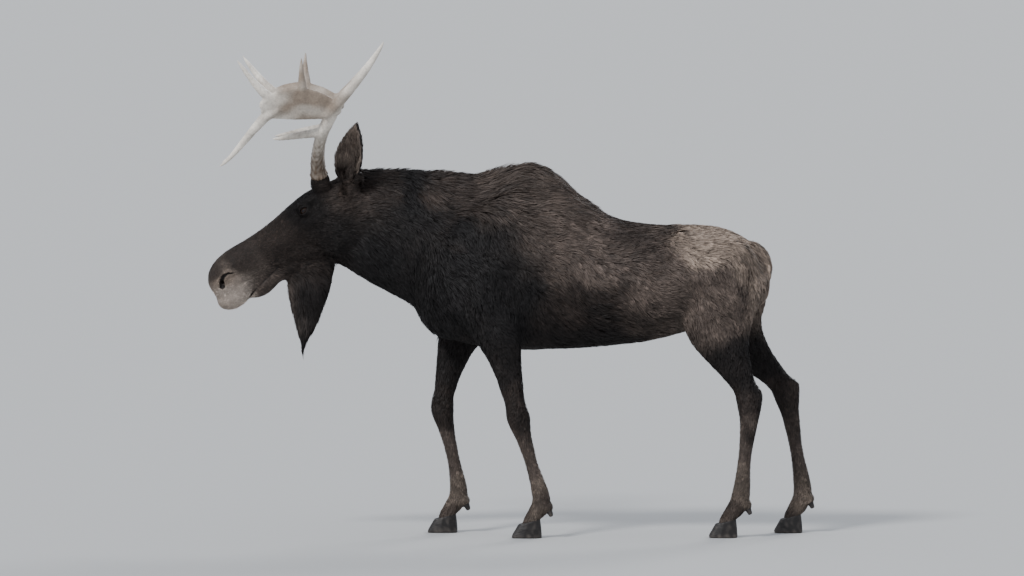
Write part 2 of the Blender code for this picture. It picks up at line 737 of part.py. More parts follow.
ANTLER_TRIANGLES = 780
BEAM_CUT = ((-0.835, 0.060, 1.825), (0.235, 0.300, 0.155), math.radians(-14))
BROW_CUT = ((-1.260, 0.300, 1.850), (0.190, 0.300, 0.190), math.radians(0))


def make_antler(side):
    """One antler as a single skin of beam, palm and tines."""
    bm = bmesh.new()
    for rows in (BEAM, *TINES.values()):
        stations = [(Vector((x, side * out * HALF_SPREAD, z)), r, r) for x, out, z, r in rows]
        add_limb(bm, stations, corners=12)
    up = Vector((0, side * math.sin(PALM_TILT), math.cos(PALM_TILT)))
    across = Vector((0, side * math.cos(PALM_TILT), -math.sin(PALM_TILT)))
    rings = []
    for x, out, z, half_height in refined(PALM):
        centre = Vector((x, side * out * HALF_SPREAD, z))
        rings.append(slab(centre, across, up, PALM_THICKNESS / 2, half_height))
    add_loft(bm, rings)
    burr = (BEAM[1][0], side * BEAM[1][1] * HALF_SPREAD, BEAM[1][2])
    add_ball(bm, burr, (0.043, 0.043, 0.018), segments=16)
    antler = add_object("antler", mesh_from(bm, "antler"), helpers)
    return fuse(antler, ANTLER_VOXEL, 4, ANTLER_TRIANGLES)


def make_antlers(flesh_cutter):
    for hand, side in (("left", LEFT), ("right", RIGHT)):
        whole = largest_body(boolean(make_antler(side), flesh_cutter, "DIFFERENCE"))
        for piece_name, (centre, half, pitch) in (("beam", BEAM_CUT), ("brow", BROW_CUT)):
            placed = (centre[0], side * centre[1], centre[2])
            name = f"antler_{hand}_{piece_name}"
            piece, whole = part_off(whole, name, placed, half, pitch)
            finish(piece, name, bone)
        finish(whole, f"antler_{hand}_palm", bone)


# ---------------------------------------------------------------- assembly
def stand_on_origin():
    """Moves the model so that the origin is on the floor, in the middle of its box."""
    corners = [
        obj.matrix_world @ vertex.co for obj in model.objects for vertex in obj.data.vertices
    ]
    low = [min(point[k] for point in corners) for k in range(3)]
    high = [max(point[k] for point in corners) for k in range(3)]
    middle = Vector(((low[0] + high[0]) / 2, (low[1] + high[1]) / 2, low[2]))
    for obj in model.objects:
        obj.data.transform(Matrix.Translation(-middle))


def build():
    flesh = make_flesh()
    flesh_cutter = grown(flesh)
    pieces = part_flesh(flesh)
    make_feet(pieces, flesh_cutter)
    make_head_pieces(pieces, flesh_cutter)
    make_antlers(flesh_cutter)
    tail = boolean(make_hanging("tail", TAIL), flesh_cutter, "DIFFERENCE")
    finish(largest_body(tail), "tail", dark_coat)
    finish(pieces["trunk"], "trunk", dark_coat)
    for helper in list(helpers.objects):
        bpy.data.objects.remove(helper)
    stand_on_origin()


build()
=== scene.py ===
"""A bull moose in mid-stride, dressed as a museum's life-size model over its solid form.

The animal faces -X, its left side is at -Y and it stands on z = 0. Metres throughout. Places are worked
out from the boxes of the solid form's nodes, as shares of the head or trunk, with heights over the floor.
"""

import math

import bpy
import numpy as np
import openvdb as vdb
from mathutils import Matrix, Vector, kdtree


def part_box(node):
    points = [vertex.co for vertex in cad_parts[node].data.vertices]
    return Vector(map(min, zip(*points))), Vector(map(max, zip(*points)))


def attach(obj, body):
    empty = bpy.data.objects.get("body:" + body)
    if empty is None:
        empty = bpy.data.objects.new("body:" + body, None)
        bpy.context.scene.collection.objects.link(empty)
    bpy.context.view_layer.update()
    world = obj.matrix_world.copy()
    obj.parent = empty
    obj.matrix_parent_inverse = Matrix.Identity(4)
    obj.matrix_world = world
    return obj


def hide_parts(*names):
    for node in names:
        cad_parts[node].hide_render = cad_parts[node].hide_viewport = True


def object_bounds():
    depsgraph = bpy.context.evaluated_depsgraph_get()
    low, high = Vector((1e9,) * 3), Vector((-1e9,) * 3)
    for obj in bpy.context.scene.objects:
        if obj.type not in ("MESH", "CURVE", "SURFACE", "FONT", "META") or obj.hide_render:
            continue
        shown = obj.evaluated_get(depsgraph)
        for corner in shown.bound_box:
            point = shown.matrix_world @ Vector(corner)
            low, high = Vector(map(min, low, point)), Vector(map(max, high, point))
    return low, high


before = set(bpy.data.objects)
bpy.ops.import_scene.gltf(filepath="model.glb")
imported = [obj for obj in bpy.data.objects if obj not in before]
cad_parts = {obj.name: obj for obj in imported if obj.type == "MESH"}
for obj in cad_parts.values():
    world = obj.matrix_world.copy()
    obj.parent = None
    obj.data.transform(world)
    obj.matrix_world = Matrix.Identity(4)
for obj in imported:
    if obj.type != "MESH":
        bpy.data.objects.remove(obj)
solid_box = [list(corner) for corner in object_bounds()]
low_corner, high_corner = (Vector(corner) for corner in solid_box)
middle = (low_corner + high_corner) / 2


# ================================================================ stage, light and camera
# A pale level floor that runs out of sight, a soft overcast sky and large soft lamps. The camera stands
# square to the animal's left side, far back and low, as one watches a moose across a meadow.
FLOOR_SIZE = 400.0
FLOOR_COLOUR = (0.44, 0.44, 0.435)
FLOOR_ROUGHNESS = 0.9
MOTTLE_SCALE = 0.8
MOTTLE_DARK, MOTTLE_LIGHT = 0.96, 1.03  # how far the floor's own colour wanders
SKY_COLOUR = (0.80, 0.86, 0.96)
SKY_STRENGTH = 0.90
CAMERA_DISTANCE = 45.0
CAMERA_RISE = math.radians(3.0)
SENSOR_WIDTH = 36.0
PICTURE_SHAPE = 1024 / 576
FRAME_FILL = 0.86  # how much of the picture's height the animal takes


def soft_paint(name, colour, roughness):
    """A plain matt surface with a faint unevenness in its colour."""
    made = bpy.data.materials.new(name)
    made.use_nodes = True
    tree = made.node_tree
    shader = tree.nodes["Principled BSDF"]
    shader.inputs["Roughness"].default_value = roughness
    noise = tree.nodes.new("ShaderNodeTexNoise")
    noise.inputs["Scale"].default_value = MOTTLE_SCALE
    ramp = tree.nodes.new("ShaderNodeValToRGB")
    ramp.color_ramp.elements[0].color = (*(MOTTLE_DARK * c for c in colour), 1)
    ramp.color_ramp.elements[1].color = (*(MOTTLE_LIGHT * c for c in colour), 1)
    tree.links.new(noise.outputs["Fac"], ramp.inputs["Fac"])
    tree.links.new(ramp.outputs["Color"], shader.inputs["Base Color"])
    return made


bpy.ops.mesh.primitive_plane_add(size=FLOOR_SIZE)
floor = bpy.context.object
floor.name = "floor"
floor.data.materials.append(soft_paint("pale_floor", FLOOR_COLOUR, FLOOR_ROUGHNESS))

sky = bpy.data.worlds.new("overcast")
bpy.context.scene.world = sky
sky.use_nodes = True
sky.node_tree.nodes["Background"].inputs["Color"].default_value = (*SKY_COLOUR, 1)
sky.node_tree.nodes["Background"].inputs["Strength"].default_value = SKY_STRENGTH

LAMPS = (  # name, kind, place from the middle of the animal, strength, breadth in the sky
    ("key", "SUN", (-3.0, -4.0, 4.5), 2.6, math.radians(12)),
    ("rim", "SUN", (2.5, 5.0, 3.2), 1.3, math.radians(20)),
)
for name, kind, place, strength, breadth in LAMPS:
    lamp = bpy.data.lights.new(name, kind)
    lamp.energy = strength
    lamp.angle = breadth
    stand = bpy.data.objects.new(name, lamp)
    stand.location = middle + Vector(place)
    stand.rotation_euler = (middle - stand.location).to_track_quat("-Z", "Y").to_euler()
    bpy.context.scene.collection.objects.link(stand)

camera = bpy.data.objects.new("camera", bpy.data.cameras.new("camera"))
camera.data.sensor_width = SENSOR_WIDTH
animal_height = high_corner.z - low_corner.z
camera.data.lens = SENSOR_WIDTH * CAMERA_DISTANCE * FRAME_FILL / (animal_height * PICTURE_SHAPE)
camera.data.clip_end = 4 * FLOOR_SIZE
camera.location = middle + CAMERA_DISTANCE * Vector((0, -math.cos(CAMERA_RISE), math.sin(CAMERA_RISE)))
camera.rotation_euler = (middle - camera.location).to_track_quat("-Z", "Y").to_euler()
bpy.context.scene.collection.objects.link(camera)
bpy.context.scene.camera = camera


# ================================================================ skin
# One hide from the nose to the hoofs, of thin leather that carries the coat. It is modelled as a field
# of distances round the solid flesh, sunk by the depth of the coat, with the lids, nostrils, lips and
# sinews worked into it.
HEAD_LENGTH = 0.775
HEAD_SLOPE = math.radians(33.5)
FACE = np.array((-math.cos(HEAD_SLOPE), 0, -math.sin(HEAD_SLOPE)))  # from the poll to the nose
BROW = np.array((-math.sin(HEAD_SLOPE), 0, math.cos(HEAD_SLOPE)))  # square to it, upwards
ACROSS = np.array((0.0, 1.0, 0.0))  # towards the right side
EYE_SHARE, EYE_RISE = 0.255, 0.074  # the eyes' place along the head, and above its middle line


def centre_of(node):
    low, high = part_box(node)
    return np.array((low + high) / 2)


eye_middle = (centre_of("eye_left") + centre_of("eye_right")) / 2
poll = eye_middle - FACE * EYE_SHARE * HEAD_LENGTH - BROW * EYE_RISE
eye_radius = (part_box("eye_left")[1].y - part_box("eye_left")[0].y) / 2


def on_head(share, side, rise):
    """A place on the head: share of its length from the poll, distance to the right, height."""
    return poll + FACE * share * HEAD_LENGTH + ACROSS * side + BROW * rise


legs = [f"leg_{end}_{hand}" for end in ("front", "hind") for hand in ("left", "right")]
ears = ["ear_left", "ear_right"]
flesh = ["trunk", "neck", "head", "bell", "tail", *legs]
hooves = [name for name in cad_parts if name.startswith("hoof_")]

# The coat over each part of the body: its place in side view (x and z), how deep it lies over the
# skin, the length and width of a lock, how many locks there are on a square metre, the way they lie
# (x and z), and their colour.
trunk_low, trunk_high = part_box("trunk")
trunk_length = trunk_high.x - trunk_low.x
bell_low, bell_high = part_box("bell")
tail_low, tail_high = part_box("tail")


def along_trunk(share, height):
    """A place on the trunk in side view: share of its length from the breast, height over the floor."""
    return (trunk_low.x + share * trunk_length, height)


def in_side_view(share, rise):
    """A place on the head in side view."""
    place = on_head(share, 0, rise)
    return (place[0], place[2])


LEG_SLICE = 0.06


def on_leg(name, height):
    """The middle of one leg in side view, at a height over the floor."""
    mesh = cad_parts[name].data
    points = np.array([v.co for v in mesh.vertices])
    near = points[np.abs(points[:, 2] - height) < LEG_SLICE]
    return (near[:, 0].mean(), height)


SOOT = (0.0070, 0.0060, 0.0060)
BLACK_BROWN = (0.0115, 0.0088, 0.0080)
DARK_BROWN = (0.025, 0.0180, 0.0150)
UMBER = (0.039, 0.0285, 0.0235)
SMOKE_BROWN = (0.062, 0.0465, 0.0380)
GRIZZLED = (0.088, 0.0665, 0.0550)
STOCKING = (0.130, 0.1010, 0.0800)
FAWN = (0.275, 0.2130, 0.1680)
ASH = (0.560, 0.4720, 0.4020)
bell_x = (bell_low.x + bell_high.x) / 2

COAT = [  # place, depth, length, width, locks a square metre, lie, colour
    (along_trunk(0.06, 1.64), 0.028, 0.080, 0.0046, 42000, (0.85, -0.25), UMBER),  # withers
    (along_trunk(0.20, 1.74), 0.042, 0.110, 0.0053, 39000, (1.0, -0.05), SMOKE_BROWN),  # hump
    (along_trunk(0.36, 1.66), 0.032, 0.090, 0.0050, 40000, (1.0, -0.15), SMOKE_BROWN),  # behind the hump
    (along_trunk(0.60, 1.50), 0.017, 0.052, 0.0043, 46000, (1.0, -0.15), UMBER),  # loins
    (along_trunk(0.82, 1.46), 0.014, 0.042, 0.0040, 48000, (1.0, -0.25), FAWN),  # croup
    (along_trunk(0.98, 1.25), 0.013, 0.038, 0.0037, 51000, (0.35, -1.0), FAWN),  # buttocks
    (along_trunk(0.12, 1.38), 0.018, 0.050, 0.0040, 48000, (0.60, -0.8), SOOT),  # shoulder
    (along_trunk(0.24, 1.10), 0.015, 0.042, 0.0037, 51000, (0.45, -0.9), SOOT),  # upper arm
    (along_trunk(0.02, 1.12), 0.024, 0.066, 0.0043, 42000, (0.30, -1.0), SOOT),  # breast
    (along_trunk(0.45, 1.32), 0.015, 0.044, 0.0038, 48000, (0.9, -0.45), GRIZZLED),  # ribs
    (along_trunk(0.45, 1.14), 0.016, 0.048, 0.0038, 48000, (0.9, -0.45), DARK_BROWN),  # low ribs
    (along_trunk(0.45, 0.98), 0.022, 0.060, 0.0042, 42000, (0.9, -0.40), BLACK_BROWN),  # belly
    (along_trunk(0.68, 1.22), 0.015, 0.044, 0.0038, 48000, (0.8, -0.55), GRIZZLED),  # flank
    (along_trunk(0.86, 1.16), 0.012, 0.034, 0.0036, 55000, (0.35, -0.95), GRIZZLED),  # thigh
    (in_side_view(-0.20, 0.02), 0.024, 0.066, 0.0043, 46000, (0.85, -0.40), DARK_BROWN),  # nape
    (in_side_view(-0.30, -0.16), 0.020, 0.056, 0.0042, 46000, (0.75, -0.65), SOOT),  # side of neck
    (in_side_view(0.05, -0.26), 0.022, 0.066, 0.0043, 46000, (0.45, -0.9), SOOT),  # throat
    ((bell_x, bell_high.z - 0.14), 0.014, 0.080, 0.0043, 58000, (0.1, -1.0), BLACK_BROWN),  # top of the bell
    ((bell_x, bell_low.z + 0.10), 0.005, 0.080, 0.0037, 75000, (0.0, -1.0), SOOT),  # foot of the bell
    ((tail_high.x - 0.02, tail_low.z + 0.05), 0.012, 0.050, 0.0037, 54000, (0.25, -1.0), DARK_BROWN),  # tail
    (in_side_view(0.02, 0.02), 0.009, 0.026, 0.0028, 100000, (0.85, 0.25), UMBER),  # poll
    (in_side_view(0.17, -0.08), 0.007, 0.018, 0.0025, 94000, (0.8, -0.20), BLACK_BROWN),  # cheek
    (in_side_view(0.25, 0.07), 0.004, 0.010, 0.0019, 122000, (0.83, 0.4), BLACK_BROWN),  # round the eyes
    (in_side_view(0.50, 0.05), 0.0045, 0.011, 0.0019, 122000, (0.83, 0.45), UMBER),  # bridge
    (in_side_view(0.50, -0.03), 0.0045, 0.011, 0.0019, 122000, (0.83, 0.25), DARK_BROWN),  # side of the nose
    (in_side_view(0.45, -0.10), 0.005, 0.014, 0.0021, 108000, (0.8, -0.15), DARK_BROWN),  # jaw
    (in_side_view(0.76, 0.05), 0.0030, 0.008, 0.0016, 135000, (0.83, 0.4), UMBER),  # muzzle
    (in_side_view(0.93, 0.06), 0.0022, 0.006, 0.0014, 148000, (0.8, 0.3), SMOKE_BROWN),  # over the nostrils
    (in_side_view(0.92, 0.012), 0.0022, 0.006, 0.0014, 148000, (0.8, 0.25), FAWN),  # nostrils
    (in_side_view(0.94, -0.04), 0.0022, 0.006, 0.0014, 148000, (0.8, 0.2), ASH),  # upper lip
    (in_side_view(0.88, -0.12), 0.0022, 0.006, 0.0014, 148000, (0.8, 0.1), ASH),  # under the upper lip
    (in_side_view(0.72, -0.14), 0.004, 0.014, 0.0019, 108000, (0.7, -0.5), GRIZZLED),  # chin
]
for leg in legs:
    COAT += [
        (on_leg(leg, 0.80), 0.009, 0.026, 0.0032, 75000, (0.20, -1.0), BLACK_BROWN),  # forearm, gaskin
        (on_leg(leg, 0.62), 0.006, 0.018, 0.0026, 76000, (0.12, -1.0), DARK_BROWN),  # knee, hock
        (on_leg(leg, 0.40), 0.0045, 0.014, 0.0022, 89000, (0.08, -1.0), GRIZZLED),  # cannon
        (on_leg(leg, 0.20), 0.0045, 0.013, 0.0021, 94000, (0.10, -1.0), STOCKING),  # fetlock
        (on_leg(leg, 0.11), 0.0045, 0.020, 0.0024, 94000, (0.10, -1.0), SMOKE_BROWN),  # pastern
    ]
COAT_PLACES = np.array([row[0] for row in COAT])
COAT_VALUES = np.array([(*row[1:5], *row[5], *row[6]) for row in COAT])
DEPTH, LENGTH, WIDTH, NUMBER, LIE_X, LIE_Z = range(6)
COLOUR = slice(6, 9)
BLEND_POWER = 2.5  # how sharply the nearest row wins
LEAST_APART = 1e-5  # square metres, so that no row wins without end


def coat_at(x, z):
    """The coat's measures at places in side view, blended from the nearest rows of COAT."""
    x, z = np.broadcast_arrays(x, z)
    total = np.zeros((*x.shape, COAT_VALUES.shape[1]), np.float32)
    weights = np.zeros(x.shape, np.float32)
    for place, values in zip(COAT_PLACES, COAT_VALUES):
        apart = (x - place[0]) ** 2 + (z - place[1]) ** 2 + LEAST_APART
        weight = apart**-BLEND_POWER
        total += weight[..., None] * values
        weights += weight
    return total / weights[..., None]


NO_QUADS = np.empty((0, 4), np.uint32)
CUT_SWELL = 0.0006  # just enough to close the thin cuts between the solids


def surface_of(names):
    """The surface of some solids, taken together, as points, triangles and quads."""
    points, triangles, first = [], [], 0
    for name in names:
        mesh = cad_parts[name].data
        mesh.calc_loop_triangles()
        own = np.empty(len(mesh.vertices) * 3, np.float32)
        mesh.vertices.foreach_get("co", own)
        corners = np.empty(len(mesh.loop_triangles) * 3, np.int32)
        mesh.loop_triangles.foreach_get("vertices", corners)
        points.append(own.reshape(-1, 3))
        triangles.append(corners.reshape(-1, 3) + first)
        first += len(points[-1])
    return np.concatenate(points), np.concatenate(triangles).astype(np.uint32), NO_QUADS


def closed_surface(names, voxel):
    """One surface round several solids, with the thin cuts between them closed."""
    points, triangles = surface_of(names)[:2]
    spacing = vdb.createLinearTransform(voxelSize=voxel)
    grid = vdb.FloatGrid.createLevelSetFromPolygons(points, triangles=triangles, transform=spacing)
    return grid.convertToPolygons(CUT_SWELL, 0.0)


class Field:
    """Distances to a surface on a regular grid of points, below 0 inside it and above 0 outside."""

    def __init__(self, surface, voxel, reach, low, high):
        points, triangles, quads = surface
        self.voxel = voxel
        self.first = np.floor(np.array(low) / voxel).astype(int)
        count = np.ceil(np.array(high) / voxel).astype(int) - self.first + 1
        grid = vdb.FloatGrid.createLevelSetFromPolygons(
            points,
            triangles=triangles if len(triangles) else None,
            quads=quads if len(quads) else None,
            transform=vdb.createLinearTransform(voxelSize=voxel),
            halfWidth=reach / voxel,
        )
        self.values = np.empty(count, np.float32)
        grid.copyToArray(self.values, ijk=tuple(int(i) for i in self.first))

    def axes(self, part=(slice(None),) * 3):
        """The x, y and z of the grid's points, shaped to be combined."""
        made = []
        for axis in range(3):
            line = (self.first[axis] + np.arange(self.values.shape[axis], dtype=np.float32)) * self.voxel
            shape = [1, 1, 1]
            shape[axis] = -1
            made.append(line[part[axis]].reshape(shape))
        return made

    def part_near(self, places, reach):
        """The slices of the grid that hold all that lies within reach of some places."""
        places = np.atleast_2d(places)
        low = np.floor((places.min(0) - reach) / self.voxel).astype(int) - self.first
        high = np.ceil((places.max(0) + reach) / self.voxel).astype(int) - self.first + 1
        low, high = np.clip(low, 0, self.values.shape), np.clip(high, 0, self.values.shape)
        return tuple(slice(int(a), int(b)) for a, b in zip(low, high))

    def soften(self, width):
        """Blurs the distances, which rounds off the facets."""
        half = math.ceil(2.5 * width / self.voxel)
        steps = np.arange(-half, half + 1)
        weights = np.exp(-0.5 * (steps * self.voxel / width) ** 2)
        weights /= weights.sum()
        for axis in range(3):
            padding = [(0, 0)] * 3
            padding[axis] = (half, half)
            padded = np.pad(self.values, padding, mode="edge")
            made = np.zeros_like(self.values)
            for step, weight in enumerate(weights):
                part = [slice(None)] * 3
                part[axis] = slice(step, step + self.values.shape[axis])
                made += np.float32(weight) * padded[tuple(part)]
            self.values = made

    def at(self, points):
        """Distances at any points, read between the grid's own."""
        place = points / self.voxel - self.first
        place = np.clip(place, 0, np.array(self.values.shape) - 1.001)
        cell = place.astype(int)
        share = (place - cell).astype(np.float32)
        found = np.zeros(len(points), np.float32)
        for i in (0, 1):
            for j in (0, 1):
                for k in (0, 1):
                    weight = (
                        (share[:, 0] if i else 1 - share[:, 0])
                        * (share[:, 1] if j else 1 - share[:, 1])
                        * (share[:, 2] if k else 1 - share[:, 2])
                    )
                    found += weight * self.values[cell[:, 0] + i, cell[:, 1] + j, cell[:, 2] + k]
        return found

    def away(self, points):
        """The unit direction out of the surface at any points."""
        made = np.empty((len(points), 3), np.float32)
        for axis in range(3):
            step = np.zeros(3)
            step[axis] = self.voxel
            made[:, axis] = self.at(points + step) - self.at(points - step)
        return made / np.maximum(np.linalg.norm(made, axis=1, keepdims=True), 1e-9)

    def mesh(self, adaptivity):
        """Points, triangles and quads of the surface, facing out."""
        grid = vdb.FloatGrid(3 * self.voxel)
        grid.transform = vdb.createLinearTransform(voxelSize=self.voxel)
        grid.copyFromArray(self.values, ijk=tuple(int(i) for i in self.first))
        return grid.convertToPolygons(0.0, adaptivity)


def near_path(field, part, places):
    """Each grid point's distance to a line through places, and how far along the line it lies, 0 to 1."""
    x, y, z = field.axes(part)
    nearest, share = None, None
    runs = len(places) - 1
    for k, (start, end) in enumerate(zip(places, places[1:])):
        run = end - start
        offset = (x - start[0]) * run[0] + (y - start[1]) * run[1] + (z - start[2]) * run[2]
        t = np.clip(offset / (run @ run), 0, 1)
        off = (x - start[0] - t * run[0], y - start[1] - t * run[1], z - start[2] - t * run[2])
        apart = np.sqrt(off[0] ** 2 + off[1] ** 2 + off[2] ** 2)
        if nearest is None:
            nearest, share = apart, (k + t) / runs
        else:
            closer = apart < nearest
            nearest = np.where(closer, apart, nearest)
            share = np.where(closer, (k + t) / runs, share)
    return nearest, share


RIDGE_REACH = 2.6  # a ridge is left out beyond so many times its width
RIDGE_ENDS = (0.06, 0.94)  # the shares of its length between which it rises and falls


def ridge(field, places, width, height):
    """Raises the skin along a line, or sinks it where height is below 0."""
    places = [np.array(place, float) for place in places]
    part = field.part_near(places, RIDGE_REACH * width)
    apart, share = near_path(field, part, places)
    fade = np.sin(np.pi * np.clip(share, *RIDGE_ENDS)) ** 0.5
    field.values[part] -= (height * fade * np.exp(-0.5 * (apart / width) ** 2)).astype(np.float32)


def join(field, part, other, softness):
    """Adds another form to the field, with a soft crease where they meet."""
    own = field.values[part]
    mix = np.maximum(softness - np.abs(own - other), 0) / softness
    field.values[part] = np.minimum(own, other) - 0.25 * softness * mix**2


def carve(field, part, other, softness):
    """Takes another form out of the field, with a soft edge."""
    own = field.values[part]
    mix = np.maximum(softness - np.abs(own + other), 0) / softness
    field.values[part] = np.maximum(own, -other) + 0.25 * softness * mix**2


CLOSING_VOXEL = 0.0045
BODY_VOXEL, BODY_SOFTENING = 0.0085, 0.012
HEAD_VOXEL, HEAD_SOFTENING = 0.0025, 0.0050
BODY_REACH, HEAD_REACH = 0.065, 0.035  # how far from the skin the distances are known
BODY_MARGIN, HEAD_MARGIN, THROAT_MARGIN = 0.05, 0.02, 0.03
WIDEST = 0.40  # no flesh lies further from the middle plane
BODY_ADAPTIVITY, HEAD_ADAPTIVITY = 0.012, 0.010  # how far level stretches are drawn with larger faces
SEAM_BEHIND = -0.15  # the finer skin of the head ends this far behind the poll
SEAM_BELOW = -0.25  # and this far below the middle line of the skull
NAPE_RISE, NAPE_LENGTH = 0.06, 0.22  # above this rise it goes on further back, to hold the ears
OVERLAP = 0.012

body_surface = closed_surface(flesh + hooves, CLOSING_VOXEL)
body_field = Field(
    body_surface,
    BODY_VOXEL,
    BODY_REACH,
    (low_corner.x - BODY_MARGIN, -WIDEST, -BODY_MARGIN),
    (high_corner.x + BODY_MARGIN, WIDEST, trunk_high.z + BODY_MARGIN),
)
body_field.soften(BODY_SOFTENING)
x, y, z = body_field.axes()
body_field.values += coat_at(x, z)[..., DEPTH]

head_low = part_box("head")[0]
ear_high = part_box("ear_left")[1]
ear_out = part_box("ear_right")[1].y
seam_corner = poll + FACE * SEAM_BEHIND + BROW * SEAM_BELOW
head_corners = (
    (head_low.x - HEAD_MARGIN, -ear_out - HEAD_MARGIN, head_low.z - THROAT_MARGIN),
    (max(seam_corner[0], ear_high.x) + THROAT_MARGIN, ear_out + HEAD_MARGIN, ear_high.z + HEAD_MARGIN),
)
head_field = Field(body_surface, HEAD_VOXEL, HEAD_REACH, *head_corners)
head_field.soften(HEAD_SOFTENING)
x, y, z = head_field.axes()
head_field.values += coat_at(x, z)[..., DEPTH]

# The skin swells round the pedicles, so that the antlers stay rooted in it.
PEDICLE_HEIGHT = 0.035  # the foot of an antler, whose middle is the pedicle's
PEDICLE_RADIUS, PEDICLE_BLEND, PEDICLE_REACH = 0.034, 0.030, 0.10
for name in ("antler_left_beam", "antler_right_beam"):
    points = np.array([v.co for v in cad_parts[name].data.vertices])
    root = points[points[:, 2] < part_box(name)[0].z + PEDICLE_HEIGHT].mean(0)
    part = head_field.part_near(root, PEDICLE_REACH)
    x, y, z = head_field.axes(part)
    apart = np.sqrt((x - root[0]) ** 2 + (y - root[1]) ** 2 + (z - root[2]) ** 2)
    join(head_field, part, apart - PEDICLE_RADIUS, PEDICLE_BLEND)

# Each ear stands on a round root of muscle, which closes the foot of its hollow.
EAR_FOOT = 0.05  # the lowest part of an ear, whose middle is its root's
EAR_SOFTENING = 0.0030
EAR_REACH = 0.02
EAR_SUNK = 0.0022  # the depth of the coat over it
EAR_BLEND = 0.014
EAR_ROOT_SPAN = (-0.22, 0.10)  # from where to where the root lies, in shares of the ear's length
EAR_ROOT_RADIUS, EAR_ROOT_BLEND, EAR_ROOT_REACH = 0.030, 0.030, 0.08


def ear_line(name):
    """The middle of an ear's root, and its tip."""
    points = surface_of([name])[0]
    foot = points[points[:, 2] < points[:, 2].min() + EAR_FOOT].mean(0)
    return foot, points[points[:, 2].argmax()]


for name in ears:
    ear_field = Field(surface_of([name]), HEAD_VOXEL, EAR_REACH, *head_corners)
    ear_field.soften(EAR_SOFTENING)
    whole = (slice(None),) * 3
    join(head_field, whole, ear_field.values + EAR_SUNK, EAR_BLEND)
    foot, tip = ear_line(name)
    root = [foot + (tip - foot) * share for share in EAR_ROOT_SPAN]
    part = head_field.part_near(root, EAR_ROOT_REACH)
    join(head_field, part, near_path(head_field, part, root)[0] - EAR_ROOT_RADIUS, EAR_ROOT_BLEND)

SEARCH_FROM, SEARCH_STEP = 0.38, 0.001  # where the search for the skin begins, and its step
NEAR_MIDDLE = 0.02  # taken where there is no skin straight out


def skin_place(field, place, side, sunk=0.0):
    """The place on the skin straight out to one side of a place on the middle plane."""
    outs = np.arange(SEARCH_FROM, 0.0, -SEARCH_STEP)
    line = place + side * outs[:, None] * ACROSS
    inside = field.at(line) < 0
    out = outs[np.argmax(inside)] if inside.any() else NEAR_MIDDLE
    return place + side * (out - sunk) * ACROSS


def on_cheek(share, rise, side, sunk=0.0):
    """A place on the skin at one side of the head."""
    return skin_place(head_field, on_head(share, 0, rise), side, sunk)


# The lids: a fold of skin over each eyeball, open in an almond that slants down to the nose.
LID_THICKNESS = 0.0040
APERTURE_HALF_LENGTH, APERTURE_HALF_HEIGHT = 0.0235, 0.0165
LOWER_LID_SHARE = 0.75  # how far the lower lid opens, beside the upper one
LID_CORNER = -0.6  # how far the almond's two edges go on past each other beyond its corners
LID_SLANT = math.radians(12)
LID_BLEND, LID_EDGE, LID_REACH = 0.018, 0.0016, 0.06
GAZE_AHEAD, GAZE_UP = 0.22, 0.14  # the eyes look outwards, and by these shares ahead and up
LID_ARC = 0.9  # how far an arc over the eye comes down at its ends, as a share of its height
LID_FOLDS = (  # rise in openings, and more, length in openings, place off the eyeball, width, height
    (1.0, 0.003, 1.0, LID_THICKNESS, 0.0035, 0.0026),  # rim of the upper lid
    (1.0, 0.011, 1.0, 0.009, 0.0026, -0.0030),  # crease over it
    (1.0, 0.018, 1.1, 0.014, 0.0050, 0.0026),  # fold under the brow
    (-0.80, 0.0, 1.0, LID_THICKNESS, 0.0030, 0.0018),  # rim of the lower lid
    (-1.0, -0.007, 1.0, 0.010, 0.0030, -0.0026),  # crease under it
)


def eye_directions(side):
    """Outwards, along the slit towards the nose, and up, at one eye."""
    outwards = ACROSS * side + FACE * GAZE_AHEAD + BROW * GAZE_UP
    outwards = outwards / np.linalg.norm(outwards)
    forwards = FACE * math.cos(LID_SLANT) - BROW * math.sin(LID_SLANT)
    forwards = forwards - outwards * (forwards @ outwards)
    forwards = forwards / np.linalg.norm(forwards)
    upwards = np.cross(outwards, forwards)
    return outwards, forwards, upwards * (1 if upwards @ BROW > 0 else -1)


def lid_room(ahead, reach):
    """How far the lids part along the slit: 1 in its middle, 0 at its corners."""
    return np.clip(1 - (ahead / reach) ** 2, LID_CORNER, 1)


def lid_line(side, centre, height, reach, bulge, number=7):
    """A curve over the eyeball: an arc height above its middle, reach long, bulge off its surface."""
    outwards, forwards, upwards = eye_directions(side)
    places = []
    for k in range(number):
        t = 2 * k / (number - 1) - 1
        ahead, up = t * reach, height * (1 - LID_ARC * t * t)
        out = math.sqrt(max((eye_radius + bulge) ** 2 - ahead**2 - up**2, 1e-6))
        places.append(centre + outwards * out + forwards * ahead + upwards * up)
    return places


